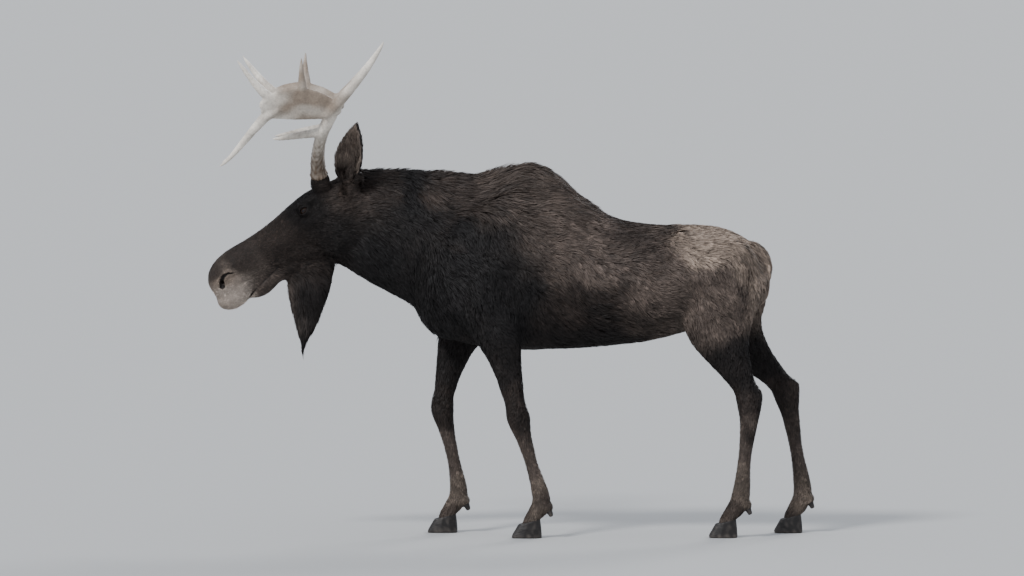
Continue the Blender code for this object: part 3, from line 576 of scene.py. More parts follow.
for side, name in ((-1, "eye_left"), (1, "eye_right")):
    centre = centre_of(name)
    part = head_field.part_near(centre, LID_REACH)
    x, y, z = (line - value for line, value in zip(head_field.axes(part), centre))
    apart = np.sqrt(x**2 + y**2 + z**2)
    outwards, forwards, upwards = eye_directions(side)
    out = x * outwards[0] + y * outwards[1] + z * outwards[2]
    ahead = x * forwards[0] + y * forwards[1] + z * forwards[2]
    up = x * upwards[0] + y * upwards[1] + z * upwards[2]
    join(head_field, part, apart - eye_radius - LID_THICKNESS, LID_BLEND)
    for openings, beyond, lengths, bulge, width, height in LID_FOLDS:
        rise = openings * APERTURE_HALF_HEIGHT + beyond
        fold = lid_line(side, centre, rise, lengths * APERTURE_HALF_LENGTH, bulge)
        ridge(head_field, fold, width, height)
    room = lid_room(ahead, APERTURE_HALF_LENGTH)
    upper = up - APERTURE_HALF_HEIGHT * room
    lower = -up - LOWER_LID_SHARE * APERTURE_HALF_HEIGHT * room
    almond = np.maximum(np.maximum(upper, lower), -out)
    carve(head_field, part, almond, LID_EDGE)

HEAD_FORMS = (  # places along a line as (share of the head, rise), its width, its height
    (((0.205, 0.118), (0.27, 0.114)), 0.014, 0.0040),  # brow
    (((0.296, 0.058), (0.325, 0.044), (0.365, 0.026)), 0.0050, -0.0050),  # tear groove
    (((0.30, 0.018), (0.22, 0.006), (0.12, 0.010)), 0.0120, 0.0055),  # cheekbone
    (((0.37, -0.025), (0.35, -0.080), (0.30, -0.125)), 0.0120, -0.0045),  # front of the chewing muscle
    (((0.05, -0.130), (0.18, -0.158), (0.33, -0.145)), 0.0140, 0.0045),  # edge of the jaw
    (((0.36, 0.055), (0.48, 0.040), (0.60, 0.018)), 0.0140, -0.0040),  # beside the nose
    (((0.40, -0.008), (0.50, -0.022), (0.60, -0.032)), 0.0100, 0.0028),  # face crest
    (((0.42, -0.070), (0.45, -0.025), (0.44, 0.020)), 0.0028, 0.0016),  # vein
    (((0.815, 0.055), (0.798, 0.020), (0.812, -0.015)), 0.0055, -0.0026),  # folds behind the nostril
    (((0.780, 0.050), (0.762, 0.018), (0.772, -0.018)), 0.0060, -0.0020),
    (((0.86, -0.040), (0.78, -0.056), (0.69, -0.060)), 0.0070, -0.0028),  # fold over the lip
    (((0.63, -0.050), (0.600, -0.070), (0.575, -0.100)), 0.0060, -0.0030),  # corner of the mouth
    (((0.82, -0.100), (0.73, -0.086), (0.64, -0.072)), 0.0070, 0.0030),  # rim of the upper lip
    (((0.79, -0.132), (0.72, -0.118), (0.64, -0.102)), 0.0060, 0.0030),  # rim of the lower lip
)
for side in (-1, 1):
    for places, width, height in HEAD_FORMS:
        ridge(head_field, [on_cheek(share, rise, side) for share, rise in places], width, height)

# The nostrils are long commas on the sides of the muzzle, wide in front, and the mouth is a slit under
# the overhanging lip.
NOSTRIL = ((0.930, -0.010), (0.917, 0.012), (0.890, 0.026), (0.858, 0.027), (0.832, 0.014))
NOSTRIL_WIDE, NOSTRIL_NARROW = 0.0130, 0.0030
NOSTRIL_TAPER = 1.3
FLARE_HEIGHT, FLARE_OUT, FLARE_WIDTH = 0.0050, 0.006, 0.0050  # the swollen rim
PASSAGE_START = (0.918, 0.002)  # the hole that leads in from the nostril's wide end
PASSAGE_END, PASSAGE_END_OUT = (0.870, 0.008), 0.026
PASSAGE_WIDTH = 0.0110
MOUTH = ((0.835, -0.126), (0.79, -0.113), (0.72, -0.101), (0.64, -0.087), (0.585, -0.078))
MOUTH_WIDE, MOUTH_NARROW = 0.0042, 0.0022
MOUTH_SUNK = 0.0015
NOSTRIL_REACH, PASSAGE_REACH, MOUTH_REACH = 0.040, 0.03, 0.02
NOSTRIL_EDGE, PASSAGE_EDGE, MOUTH_EDGE = 0.0035, 0.004, 0.003  # how softly each is cut
nostril_lines, passage_lines, mouth_lines = [], [], []


def nostril_radius(share):
    """Half a nostril's width, from its front end to its back end."""
    return NOSTRIL_NARROW + (NOSTRIL_WIDE - NOSTRIL_NARROW) * (1 - share) ** NOSTRIL_TAPER


for side in (-1, 1):
    rim = [on_cheek(share, rise, side) for share, rise in NOSTRIL]
    passage = [
        on_cheek(*PASSAGE_START, side),
        on_head(PASSAGE_END[0], side * PASSAGE_END_OUT, PASSAGE_END[1]),
    ]
    part = head_field.part_near(rim, NOSTRIL_REACH)
    apart, share = near_path(head_field, part, rim)
    radius = nostril_radius(share)
    flare = np.exp(-0.5 * ((apart - radius - FLARE_OUT) / FLARE_WIDTH) ** 2)
    head_field.values[part] -= FLARE_HEIGHT * flare
    carve(head_field, part, apart - radius, NOSTRIL_EDGE)
    part = head_field.part_near(passage, PASSAGE_REACH)
    carve(head_field, part, near_path(head_field, part, passage)[0] - PASSAGE_WIDTH, PASSAGE_EDGE)
    nostril_lines.append(rim)
    passage_lines.append(passage)
    slit = [on_cheek(share, rise, side, MOUTH_SUNK) for share, rise in MOUTH]
    part = head_field.part_near(slit, MOUTH_REACH)
    apart, share = near_path(head_field, part, slit)
    carve(head_field, part, apart - MOUTH_WIDE - (MOUTH_NARROW - MOUTH_WIDE) * share, MOUTH_EDGE)
    mouth_lines.append(slit)

# Muscles and bones that show through the coat on the body's sides.
BODY_FORMS = (  # places as (share of the trunk, height), width, height
    (((0.31, 1.50), (0.28, 1.30), (0.26, 1.14)), 0.032, -0.010),  # behind the shoulder blade
    (((0.16, 1.56), (0.12, 1.38)), 0.040, 0.008),  # spine of the blade
    (((0.07, 1.24), (0.09, 1.20)), 0.050, 0.010),  # point of the shoulder
    (((0.255, 1.03), (0.25, 0.99)), 0.032, 0.010),  # elbow
    (((0.67, 1.40), (0.69, 1.22)), 0.050, -0.012),  # hollow of the flank
    (((0.745, 1.445), (0.77, 1.43)), 0.034, 0.010),  # hip bone
    (((0.70, 1.08), (0.74, 1.20)), 0.030, 0.008),  # fold of the stifle
    (((0.94, 1.32), (0.93, 1.12), (0.91, 0.98)), 0.026, -0.009),  # behind the thigh
)
for side in (-1, 1):
    for places, width, height in BODY_FORMS:
        line = []
        for share, rise in places:
            x, z = along_trunk(share, rise)
            line.append(skin_place(body_field, np.array((x, 0, z)), side))
        ridge(body_field, line, width, height)

# A pad of skin holds the top of each dewclaw and joins it to its pastern.
PAD_RADIUS, PAD_BLEND, PAD_REACH = 0.0215, 0.018, 0.06
PAD_TOP = (-0.008, 0, 0.018)  # from the dewclaw's middle to the pad's
PAD_ROOT, PAD_ROOT_RISE = 0.2, 0.02  # where it ends in the pastern
for node in sorted(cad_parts):
    if node.startswith("dewclaw_"):
        end, hand = node.split("_")[1:3]
        claw = centre_of(node)
        leg_x, leg_z = on_leg(f"leg_{end}_{hand}", claw[2] + PAD_ROOT_RISE)
        pastern = np.array((leg_x, claw[1], leg_z))
        line = [claw + PAD_TOP, pastern + (claw - pastern) * PAD_ROOT]
        part = body_field.part_near(line, PAD_REACH)
        join(body_field, part, near_path(body_field, part, line)[0] - PAD_RADIUS, PAD_BLEND)


def polygons_where(surface, keep):
    """The polygons with a kept point, as points, triangles and quads."""
    points, triangles, quads = surface
    kept = keep(points)
    triangles = triangles[kept[triangles].any(1)] if len(triangles) else np.empty((0, 3), np.uint32)
    quads = quads[kept[quads].any(1)]
    used = np.unique(np.concatenate([triangles.ravel(), quads.ravel()]))
    renumbered = np.zeros(len(points), np.int64)
    renumbered[used] = np.arange(len(used))
    return points[used], renumbered[triangles], renumbered[quads]


def make_mesh(name, surfaces):
    """A smooth mesh from surfaces of points, triangles and quads."""
    points, corners, counts, first = [], [], [], 0
    for own, triangles, quads in surfaces:
        points.append(own)
        for faces in (triangles, quads):
            if len(faces):
                corners.append(faces.ravel().astype(np.int64) + first)
                counts.append(np.full(len(faces), faces.shape[1]))
        first += len(own)
    points, corners, counts = (np.concatenate(rows) for rows in (points, corners, counts))
    mesh = bpy.data.meshes.new(name)
    mesh.vertices.add(len(points))
    mesh.vertices.foreach_set("co", points.astype(np.float32).ravel())
    mesh.loops.add(len(corners))
    mesh.loops.foreach_set("vertex_index", corners.astype(np.int32))
    mesh.polygons.add(len(counts))
    starts = np.concatenate([[0], np.cumsum(counts)[:-1]])
    mesh.polygons.foreach_set("loop_start", starts.astype(np.int32))
    mesh.update(calc_edges=True)
    mesh.polygons.foreach_set("use_smooth", np.ones(len(counts), bool))
    return mesh


def add_piece(name, mesh, material, nodes):
    """Puts a piece in the scene in place of the solid form's nodes."""
    piece = bpy.data.objects.new(name, mesh)
    bpy.context.scene.collection.objects.link(piece)
    mesh.materials.append(material)
    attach(piece, "root")
    if nodes:
        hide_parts(*nodes)
    return piece


def of_head(points, margin=0.0):
    """True for the places that belong to the finer skin of the head and ears."""
    ahead = (points - poll) @ FACE
    rise = (points - poll) @ BROW
    skull = (ahead > SEAM_BEHIND - margin) & (rise > SEAM_BELOW - margin)
    crown = (rise > NAPE_RISE - margin) & (ahead > SEAM_BEHIND - NAPE_LENGTH - margin)
    return skull | crown


def outward(surface):
    """The same surface with its polygons turned to face out."""
    points, triangles, quads = surface
    a, b, c, d = (points[quads[:, k]] for k in range(4))
    volume = np.einsum("ij,ij->i", a, np.cross(b, c) + np.cross(c, d)).sum()
    if volume < 0:
        return points, triangles[:, ::-1], quads[:, ::-1]
    return surface


body_part = polygons_where(outward(body_field.mesh(BODY_ADAPTIVITY)), lambda p: ~of_head(p, -OVERLAP))
head_part = polygons_where(outward(head_field.mesh(HEAD_ADAPTIVITY)), lambda p: of_head(p))
skin_mesh = make_mesh("skin", [body_part, head_part])


def lumps(points, size, seed, number=14):
    """A smooth random unevenness of a given size, about -1 to 1."""
    random = np.random.default_rng(seed)
    ways = random.normal(size=(number, 3))
    ways *= 2 * np.pi / size / np.linalg.norm(ways, axis=1, keepdims=True)
    ways *= random.uniform(0.7, 1.4, (number, 1))
    starts = random.uniform(0, 2 * np.pi, number)
    return np.sin(points @ ways.T + starts).sum(1) / math.sqrt(number)


def add_colours(mesh, colours, name="shade"):
    """Gives each point of a mesh its own colour."""
    layer = mesh.attributes.new(name, "FLOAT_COLOR", "POINT")
    rows = np.ones((len(colours), 4), np.float32)
    rows[:, :3] = colours
    layer.data.foreach_set("color", rows.ravel())


def mixed(first, second, share):
    """Colours between two others, by each point's share."""
    share = np.clip(share, 0, 1)[:, None]
    return np.array(first) * (1 - share) + np.array(second) * share


def smooth_step(start, end, value):
    """A smooth rise from 0 at start to 1 at end."""
    t = np.clip((value - start) / (end - start), 0, 1)
    return t * t * (3 - 2 * t)


NOISE_LOW, NOISE_HIGH = 0.3, 0.7  # most of a noise texture's values lie between these


def textured(name, roughness, bumps, spots, specular=0.5):
    """A surface painted by its points' shade, with fine lighter and darker spots and bumps.

    Each of bumps is (texture scale, stretch, depth), and each of spots is (scale, darkest, lightest).
    """
    made = bpy.data.materials.new(name)
    made.use_nodes = True
    tree = made.node_tree
    shader = tree.nodes["Principled BSDF"]
    shader.inputs["Roughness"].default_value = roughness
    shader.inputs["Specular IOR Level"].default_value = specular
    colour = tree.nodes.new("ShaderNodeVertexColor")
    colour.layer_name = "shade"
    place = tree.nodes.new("ShaderNodeTexCoord")
    last = colour.outputs["Color"]
    for scale, darkest, lightest in spots:
        noise = tree.nodes.new("ShaderNodeTexNoise")
        noise.inputs["Scale"].default_value = scale
        noise.inputs["Detail"].default_value = 4
        tree.links.new(place.outputs["Object"], noise.inputs["Vector"])
        span = tree.nodes.new("ShaderNodeMapRange")
        ends = {"From Min": NOISE_LOW, "From Max": NOISE_HIGH, "To Min": darkest, "To Max": lightest}
        for socket, value in ends.items():
            span.inputs[socket].default_value = value
        tree.links.new(noise.outputs["Fac"], span.inputs["Value"])
        dye = tree.nodes.new("ShaderNodeVectorMath")
        dye.operation = "SCALE"
        tree.links.new(last, dye.inputs[0])
        tree.links.new(span.outputs["Result"], dye.inputs["Scale"])
        last = dye.outputs["Vector"]
    tree.links.new(last, shader.inputs["Base Color"])
    normal = None
    for scale, stretch, depth in bumps:
        mapping = tree.nodes.new("ShaderNodeMapping")
        mapping.inputs["Scale"].default_value = stretch
        tree.links.new(place.outputs["Object"], mapping.inputs["Vector"])
        noise = tree.nodes.new("ShaderNodeTexNoise")
        noise.inputs["Scale"].default_value = scale
        noise.inputs["Detail"].default_value = 3
        tree.links.new(mapping.outputs["Vector"], noise.inputs["Vector"])
        bump = tree.nodes.new("ShaderNodeBump")
        bump.inputs["Distance"].default_value = depth
        tree.links.new(noise.outputs["Fac"], bump.inputs["Height"])
        if normal is not None:
            tree.links.new(normal, bump.inputs["Normal"])
        normal = bump.outputs["Normal"]
    if normal is not None:
        tree.links.new(normal, shader.inputs["Normal"])
    return made


hide = textured(
    "hide",
    roughness=0.62,
    bumps=((420, (1, 1, 1), 0.0007), (60, (1, 1, 1), 0.0008)),
    spots=((25, 0.85, 1.12), (260, 0.62, 1.30)),
    specular=0.25,
)
BARE_SKIN_AND_HOLE_SHADE = (0.016, 0.0125, 0.0115)  # dark bare skin of the lids, nostrils and lips, which inside the nostrils and their passages is also painted shade in the holes
INNER_EAR = (0.19, 0.145, 0.118)
EAR_FLOOR = (0.05, 0.28)  # the pale hollow begins between these shares of the ear's length
SKIN_PAINTED_SHADE = 0.62  # the skin between the hairs is painted darker than they are, as painted shade down among their roots
LID_BORDER, NOSTRIL_BORDER = (0.004, 0.010), (0.001, 0.006)  # where bare skin ends, from and to
PASSAGE_BORDER, LIP_BORDER = (0.001, 0.004), (0.004, 0.008)
EAR_TURN = math.radians(28)  # the hollows face outwards and so far ahead
EAR_MARGIN = 0.004
EAR_RISE = 0.085  # an ear begins this far over the middle line of the skull
FACING_OPEN = (0.0, 0.3)  # the skin of the hollow faces the ear's open side


def near_line(points, places):
    """Each point's distance to a line through places, and how far along the line it lies, 0 to 1."""
    nearest, share = np.full(len(points), np.inf), np.zeros(len(points))
    for k, (start, end) in enumerate(zip(places, places[1:])):
        run = end - start
        t = np.clip((points - start) @ run / (run @ run), 0, 1)
        apart = np.linalg.norm(points - start - t[:, None] * run, axis=1)
        share = np.where(apart < nearest, (k + t) / (len(places) - 1), share)
        nearest = np.minimum(nearest, apart)
    return nearest, share


def ear_measures(points):
    """Which points are on an ear, how far along it they lie, its way to the tip and its open side."""
    on_ear = np.zeros(len(points), bool)
    along = np.zeros(len(points))
    towards = np.zeros((len(points), 3))
    facing = np.zeros((len(points), 3))
    for side, name in ((-1, "ear_left"), (1, "ear_right")):
        foot, tip = ear_line(name)
        way = (tip - foot) / np.linalg.norm(tip - foot)
        open_side = np.array((-math.sin(EAR_TURN), side * math.cos(EAR_TURN), 0))
        open_side = open_side - way * (open_side @ way)
        open_side /= np.linalg.norm(open_side)
        low, high = (np.array(corner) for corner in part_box(name))
        near = (points > low - EAR_MARGIN).all(1) & (points < high + EAR_MARGIN).all(1)
        near &= (points - poll) @ BROW > EAR_RISE
        on_ear |= near
        along[near] = ((points - foot) @ way / np.linalg.norm(tip - foot))[near]
        towards[near], facing[near] = way, open_side
    return on_ear, along, towards, facing


MARKING_SIZE = 0.22
UNEVEN_FACE, UNEVEN_BODY = 0.005, 0.050  # how far the borders between two shades wander
UNEVEN_FROM = 0.5  # they wander fully from so far behind the poll
MARKING_SEEDS = (21, 22)


def marking(points):
    """The coat's colour at any points, with uneven borders between its shades."""
    behind = smooth_step(poll[0], poll[0] + UNEVEN_FROM, points[:, 0])
    reach = UNEVEN_FACE + (UNEVEN_BODY - UNEVEN_FACE) * behind
    ahead, up = (reach * lumps(points, MARKING_SIZE, seed) for seed in MARKING_SEEDS)
    return coat_at(points[:, 0] + ahead, points[:, 2] + up)[:, COLOUR]


skin_points = np.concatenate([body_part[0], head_part[0]]).astype(np.float64)
# The skin takes the coat's colour, darkened by painted shade under the hair.
skin_shade = marking(skin_points) * SKIN_PAINTED_SHADE
skin_out = np.concatenate([body_field.away(body_part[0]), head_field.away(head_part[0])])
on_ear, along_ear, ear_way, ear_facing = ear_measures(skin_points)
hollow = smooth_step(*FACING_OPEN, (skin_out * ear_facing).sum(1))
hollow = hollow * smooth_step(*EAR_FLOOR, along_ear) * on_ear
skin_shade[on_ear] = DARK_BROWN
skin_shade = mixed(skin_shade, INNER_EAR, hollow)
for name in ("eye_left", "eye_right"):
    apart = np.linalg.norm(skin_points - centre_of(name), axis=1) - eye_radius
    skin_shade = mixed(skin_shade, BARE_SKIN_AND_HOLE_SHADE, 1 - smooth_step(*LID_BORDER, apart))
# Inside each nostril the dark bare skin is also painted shade in the hole.
for line in nostril_lines:
    apart, share = near_line(skin_points, line)
    apart = apart - nostril_radius(share)
    skin_shade = mixed(skin_shade, BARE_SKIN_AND_HOLE_SHADE, 1 - smooth_step(*NOSTRIL_BORDER, apart))
# Inside each passage the dark colour is painted shade in the hole, over dark bare skin.
for line in passage_lines:
    apart = near_line(skin_points, line)[0] - PASSAGE_WIDTH
    skin_shade = mixed(skin_shade, BARE_SKIN_AND_HOLE_SHADE, 1 - smooth_step(*PASSAGE_BORDER, apart))
for line in mouth_lines:
    apart = near_line(skin_points, line)[0]
    skin_shade = mixed(skin_shade, BARE_SKIN_AND_HOLE_SHADE, 1 - smooth_step(*LIP_BORDER, apart))
add_colours(skin_mesh, skin_shade)
skin = add_piece("skin", skin_mesh, hide, flesh + ears)


# ================================================================ coat
# Coarse hollow hair: a mane on the hump, long hair on the throat and bell, short flat hair on the face
# and legs. It is made of thin pointed locks that grow along the lie of the coat, each bending over the
# skin's own form, and drawn together in clumps.
CLUMP_SHARE = 0.07  # the share of the locks that lead a clump
CLUMP_CURVE = 1.4  # above 1, a clump's locks come together late, near their tips
LARGE_SWIRL, SMALL_SWIRL = (0.30, 0.30, 1), (0.16, 0.07, 2)  # turn in radians, size, seed
STRAY_TURN = 0.13
ROOT_SUNK = 0.0015
LEAST_LIFT, MOST_LIFT = 0.70, 1.12  # a lock's tip lies at the coat's depth, more or less
BLADE_TILT = 0.45
LONG_LOCK = 0.024  # longer ones bend in three places, shorter ones in two
HAIR_LIFT = {2: (0.0, 0.62, 1.0), 3: (0.0, 0.50, 0.82, 1.0)}  # its height at each bend, root to tip
HAIR_TAPER = {2: (0.85, 0.80, 0.0), 3: (0.80, 1.0, 0.72, 0.0)}  # and its width
PATCH = 0.003  # the size of each lock's patch on the colour map
UNWRAP_ANGLE, ISLAND_GAP = math.radians(66), 0.001

skin_mesh.calc_loop_triangles()
skin_corners = np.empty(len(skin_mesh.loop_triangles) * 3, np.int32)
skin_mesh.loop_triangles.foreach_get("vertices", skin_corners)
skin_corners = skin_corners.reshape(-1, 3)
skin_loops = np.empty(len(skin_mesh.loop_triangles) * 3, np.int32)
skin_mesh.loop_triangles.foreach_get("loops", skin_loops)
skin_loops = skin_loops.reshape(-1, 3)

bpy.context.view_layer.objects.active = skin
skin.select_set(True)
bpy.ops.object.mode_set(mode="EDIT")
bpy.ops.mesh.select_all(action="SELECT")
bpy.ops.uv.smart_project(angle_limit=UNWRAP_ANGLE, island_margin=ISLAND_GAP)
bpy.ops.object.mode_set(mode="OBJECT")
skin_mesh.uv_layers[0].name = "OFBake"
skin_map = np.empty(len(skin_mesh.loops) * 2, np.float32)
skin_mesh.uv_layers[0].uv.foreach_get("vector", skin_map)
skin_map = skin_map.reshape(-1, 2)

HOOF_VOXEL, HOOF_REACH, HOOF_MARGIN = 0.004, 0.016, 0.02
hoof_low = np.min([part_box(name)[0] for name in hooves], axis=0) - HOOF_MARGIN
hoof_high = np.max([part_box(name)[1] for name in hooves], axis=0) + HOOF_MARGIN
hoof_field = Field(surface_of(hooves), HOOF_VOXEL, HOOF_REACH, hoof_low, hoof_high)


def scatter(number_each, random):
    """Picks places on the skin's triangles: the triangle and the three corner shares of each place."""
    running = np.cumsum(number_each)
    steps = np.arange(int(running[-1])) + random.uniform(size=int(running[-1]))
    picked = np.minimum(np.searchsorted(running, steps), len(running) - 1)
    first, second = random.uniform(size=(2, len(picked)))
    over = first + second > 1
    first[over], second[over] = 1 - first[over], 1 - second[over]
    return picked, np.stack([1 - first - second, first, second], 1)


FIELD_SEAM = -0.004  # the head's field is read from this far inside its own skin


def read_fields(points, reader):
    """Reads the head's or the body's field, whichever holds each point."""
    fine = of_head(points, FIELD_SEAM)
    made = getattr(body_field, reader)(points)
    if fine.any():
        made[fine] = getattr(head_field, reader)(points[fine])
    return made


def turned(directions, axes, angles):
    """Directions turned about unit axes square to them."""
    return directions * np.cos(angles)[:, None] + np.cross(axes, directions) * np.sin(angles)[:, None]


def unit(vectors):
    """The same directions, of length 1."""
    return vectors / np.maximum(np.linalg.norm(vectors, axis=1, keepdims=True), 1e-9)


def grow(roots, length, depth, lie, bends, random):
    """The places down each lock, from its root in the skin to its tip at the coat's surface."""
    places = [roots - read_fields(roots, "away") * ROOT_SUNK]
    swirl = sum(turn * lumps(roots, size, seed) for turn, size, seed in (LARGE_SWIRL, SMALL_SWIRL))
    swirl += random.normal(0, STRAY_TURN, len(roots))
    lift = depth * random.uniform(LEAST_LIFT, MOST_LIFT, len(roots))
    here = roots
    for k in range(1, bends + 1):
        out = read_fields(here, "away")
        way = unit(lie - out * (lie * out).sum(1, keepdims=True))
        way = turned(way, out, swirl)
        here = here + way * (length / bends)[:, None]
        out = read_fields(here, "away")
        above = read_fields(here, "at")
        wanted = lift * HAIR_LIFT[bends][k]
        here = here + out * np.clip(wanted - above, -length / bends, length / bends)[:, None]
        places.append(here)
    return np.stack(places, 1)


def draw_together(places, pull, random):
    """Pulls the locks' ends towards the leading lock of each clump."""
    leads = random.choice(len(places), max(1, int(CLUMP_SHARE * len(places))), replace=False)
    tree = kdtree.KDTree(len(leads))
    for index, root in enumerate(places[leads, 0]):
        tree.insert(root, index)
    tree.balance()
    nearest = leads[[tree.find(root)[1] for root in places[:, 0]]]
    apart = np.linalg.norm(places[nearest, 0] - places[:, 0], axis=1)
    reach = np.linalg.norm(places[:, -1] - places[:, 0], axis=1)
    pull = pull * (apart < reach)
    bends = places.shape[1] - 1
    for k in range(1, bends + 1):
        share = (pull * (k / bends) ** CLUMP_CURVE)[:, None]
        places[:, k] += (places[nearest, k] - places[:, k]) * share
    return places, nearest


def blades(places, width, random):
    """Points and faces of thin pointed ribbons along the places."""
    number, stations = places.shape[:2]
    bends = stations - 1
    out = read_fields(places[:, 1], "away")
    way = unit(places[:, -1] - places[:, 0])
    side = unit(np.cross(way, out))
    side = turned(side, way, random.normal(0, BLADE_TILT, number))
    rows = []
    for k in range(bends):
        half = (0.5 * width * HAIR_TAPER[bends][k])[:, None] * side
        rows += [places[:, k] - half, places[:, k] + half]
    rows.append(places[:, bends])
    points = np.stack(rows, 1)
    faces = []
    for k in range(bends - 1):
        left, right = 2 * k, 2 * k + 1
        faces += [(left, right, right + 2), (left, right + 2, left + 2)]
    last = 2 * (bends - 1)
    faces.append((last, last + 1, last + 2))
    return points, np.array(faces)


def make_locks(name, points, faces, colours, spots):
    """One piece of coat from all its locks' points, faces, colours and places on the colour map."""
    number, each = points.shape[:2]
    corners = (faces[None] + np.arange(number)[:, None, None] * each).reshape(-1, 3)
    mesh = make_mesh(name, [(points.reshape(-1, 3), corners, NO_QUADS)])
    add_colours(mesh, colours.reshape(-1, 3))
    patch = np.zeros((each, 2), np.float32)
    patch[:, 0] = [PATCH * (k % 2 - 0.5) for k in range(each - 1)] + [0]
    patch[:, 1] = [PATCH * (k // 2 * 2 / (each - 1) - 0.5) for k in range(each)]
    spread = (spots[:, None, :] + patch[None]).reshape(-1, 2)
    uv = mesh.uv_layers.new(name="OFBake")
    uv.uv.foreach_set("vector", spread[corners.ravel()].astype(np.float32).ravel())
    return add_piece(name, mesh, fur, [])


FUR_ROUGHNESS, FUR_SHINE = 0.60, 0.22
fur = bpy.data.materials.new("coarse_hair")
fur.use_nodes = True
tree = fur.node_tree
shader = tree.nodes["Principled BSDF"]
shader.inputs["Roughness"].default_value = FUR_ROUGHNESS
shader.inputs["Specular IOR Level"].default_value = FUR_SHINE
shade_node = tree.nodes.new("ShaderNodeVertexColor")
shade_node.layer_name = "shade"
tree.links.new(shade_node.outputs["Color"], shader.inputs["Base Color"])

a, b, c = (skin_points[skin_corners[:, k]] for k in range(3))
areas = np.linalg.norm(np.cross(b - a, c - a), axis=1) / 2
centres = (a + b + c) / 3
measures = coat_at(centres[:, 0], centres[:, 2])
UNDER_HORN = 0.0005
BARE_EDGE = 0.001  # hair begins this far beyond an opening's edge
BARE_CORNER, BARE_UPPER_LID = 0.003, 0.002
EYE_SIZE = 0.05  # an eye's opening lies this near its middle


def bare(points):
    """True where no hair grows: under the horn, in the eyes, nostrils and mouth."""
    made = np.zeros(len(points), bool)
    low = points[:, 2] < hoof_high[2]
    made[low] = hoof_field.at(points[low]) < UNDER_HORN
    for side, name in ((-1, "eye_left"), (1, "eye_right")):
        outwards, forwards, upwards = eye_directions(side)
        offset = points - centre_of(name)
        ahead, up = offset @ forwards, offset @ upwards
        room = lid_room(ahead, APERTURE_HALF_LENGTH + BARE_CORNER)
        opening = up < (APERTURE_HALF_HEIGHT + BARE_UPPER_LID) * room
        opening &= up > -(APERTURE_HALF_HEIGHT + BARE_EDGE) * room
        made |= opening & (offset @ outwards > 0) & (np.linalg.norm(offset, axis=1) < EYE_SIZE)
    for line in nostril_lines:
        apart, share = near_line(points, line)
        made |= apart < nostril_radius(share) + BARE_EDGE
    for line in passage_lines:
        made |= near_line(points, line)[0] < PASSAGE_WIDTH + BARE_EDGE
    for line in mouth_lines:
        made |= near_line(points, line)[0] < MOUTH_WIDE
    return made


def comb(number_each, random):
    """Everything a region's locks start from: roots, places on the map, and the coat's measures there."""
    picked, shares = scatter(number_each, random)
    roots = (skin_points[skin_corners[picked]] * shares[..., None]).sum(1)
    spots = (skin_map[skin_loops[picked]] * shares[..., None]).sum(1)
    grows = ~bare(roots)
    roots, spots = roots[grows], spots[grows]
    own = coat_at(roots[:, 0], roots[:, 2])
    own[:, COLOUR] = marking(roots)
    lie = np.stack([own[:, LIE_X], np.zeros(len(roots)), own[:, LIE_Z]], 1)
    return roots, spots, own, lie


GUARD_SHARE, GUARD_LENGTH = 0.12, 1.35  # the longer outer hairs
FEWEST_LOCKS = 60
LENGTH_SPREAD = 0.20
LEAST_PULL, MOST_PULL, SHORT_PULL = 0.25, 0.65, 0.6  # how far clumps draw long locks, and short ones
LEAST_WIDTH, MOST_WIDTH = 0.6, 1.2
LOCK_TONE, CLUMP_TONE = 0.18, 0.20  # how unlike one lock is to the next, and one clump
PATCHY_TONE, PATCHY_SIZE, PATCHY_SEED = 0.15, 0.16, 6
ROOT_PAINTED_SHADE, TIP_GAIN = 0.60, 0.62  # each lock is darker at its root than at its tip: painted shade down among the hairs at the root, and the hair's own paler sun-bleached tips


def dress(name, roots, spots, length, depth, width, lie, colour, random):
    """Grows one region's locks and makes its pieces, one for the long locks and one for the short."""
    length = length * np.exp(random.normal(0, LENGTH_SPREAD, len(roots)))
    length *= np.where(random.uniform(size=len(roots)) < GUARD_SHARE, GUARD_LENGTH, 1.0)
    for bends, chosen in ((3, length > LONG_LOCK), (2, length <= LONG_LOCK)):
        if chosen.sum() < FEWEST_LOCKS:
            continue
        places = grow(roots[chosen], length[chosen], depth[chosen], lie[chosen], bends, random)
        number = len(places)
        pull = random.uniform(LEAST_PULL, MOST_PULL, number) * (1.0 if bends == 3 else SHORT_PULL)
        places, lead = draw_together(places, pull, random)
        wide = width[chosen] * random.uniform(LEAST_WIDTH, MOST_WIDTH, number)
        points, faces = blades(places, wide, random)
        own_tone = LOCK_TONE * random.normal(size=number)
        tone = np.exp(own_tone + CLUMP_TONE * random.normal(size=number)[lead])
        tone *= np.exp(PATCHY_TONE * lumps(places[:, 0], PATCHY_SIZE, PATCHY_SEED))
        along = np.array([k // 2 for k in range(points.shape[1])]) / bends
        # Painted shade at each lock's root, rising to its own paler tip.
        shade = (ROOT_PAINTED_SHADE + TIP_GAIN * along)[None, :, None]
        colours = colour[chosen][:, None, :] * tone[:, None, None] * shade
        piece_name = f"coat_{name}" if bends == 3 else f"coat_{name}_short"
        make_locks(piece_name, points, faces, colours, spots[chosen])


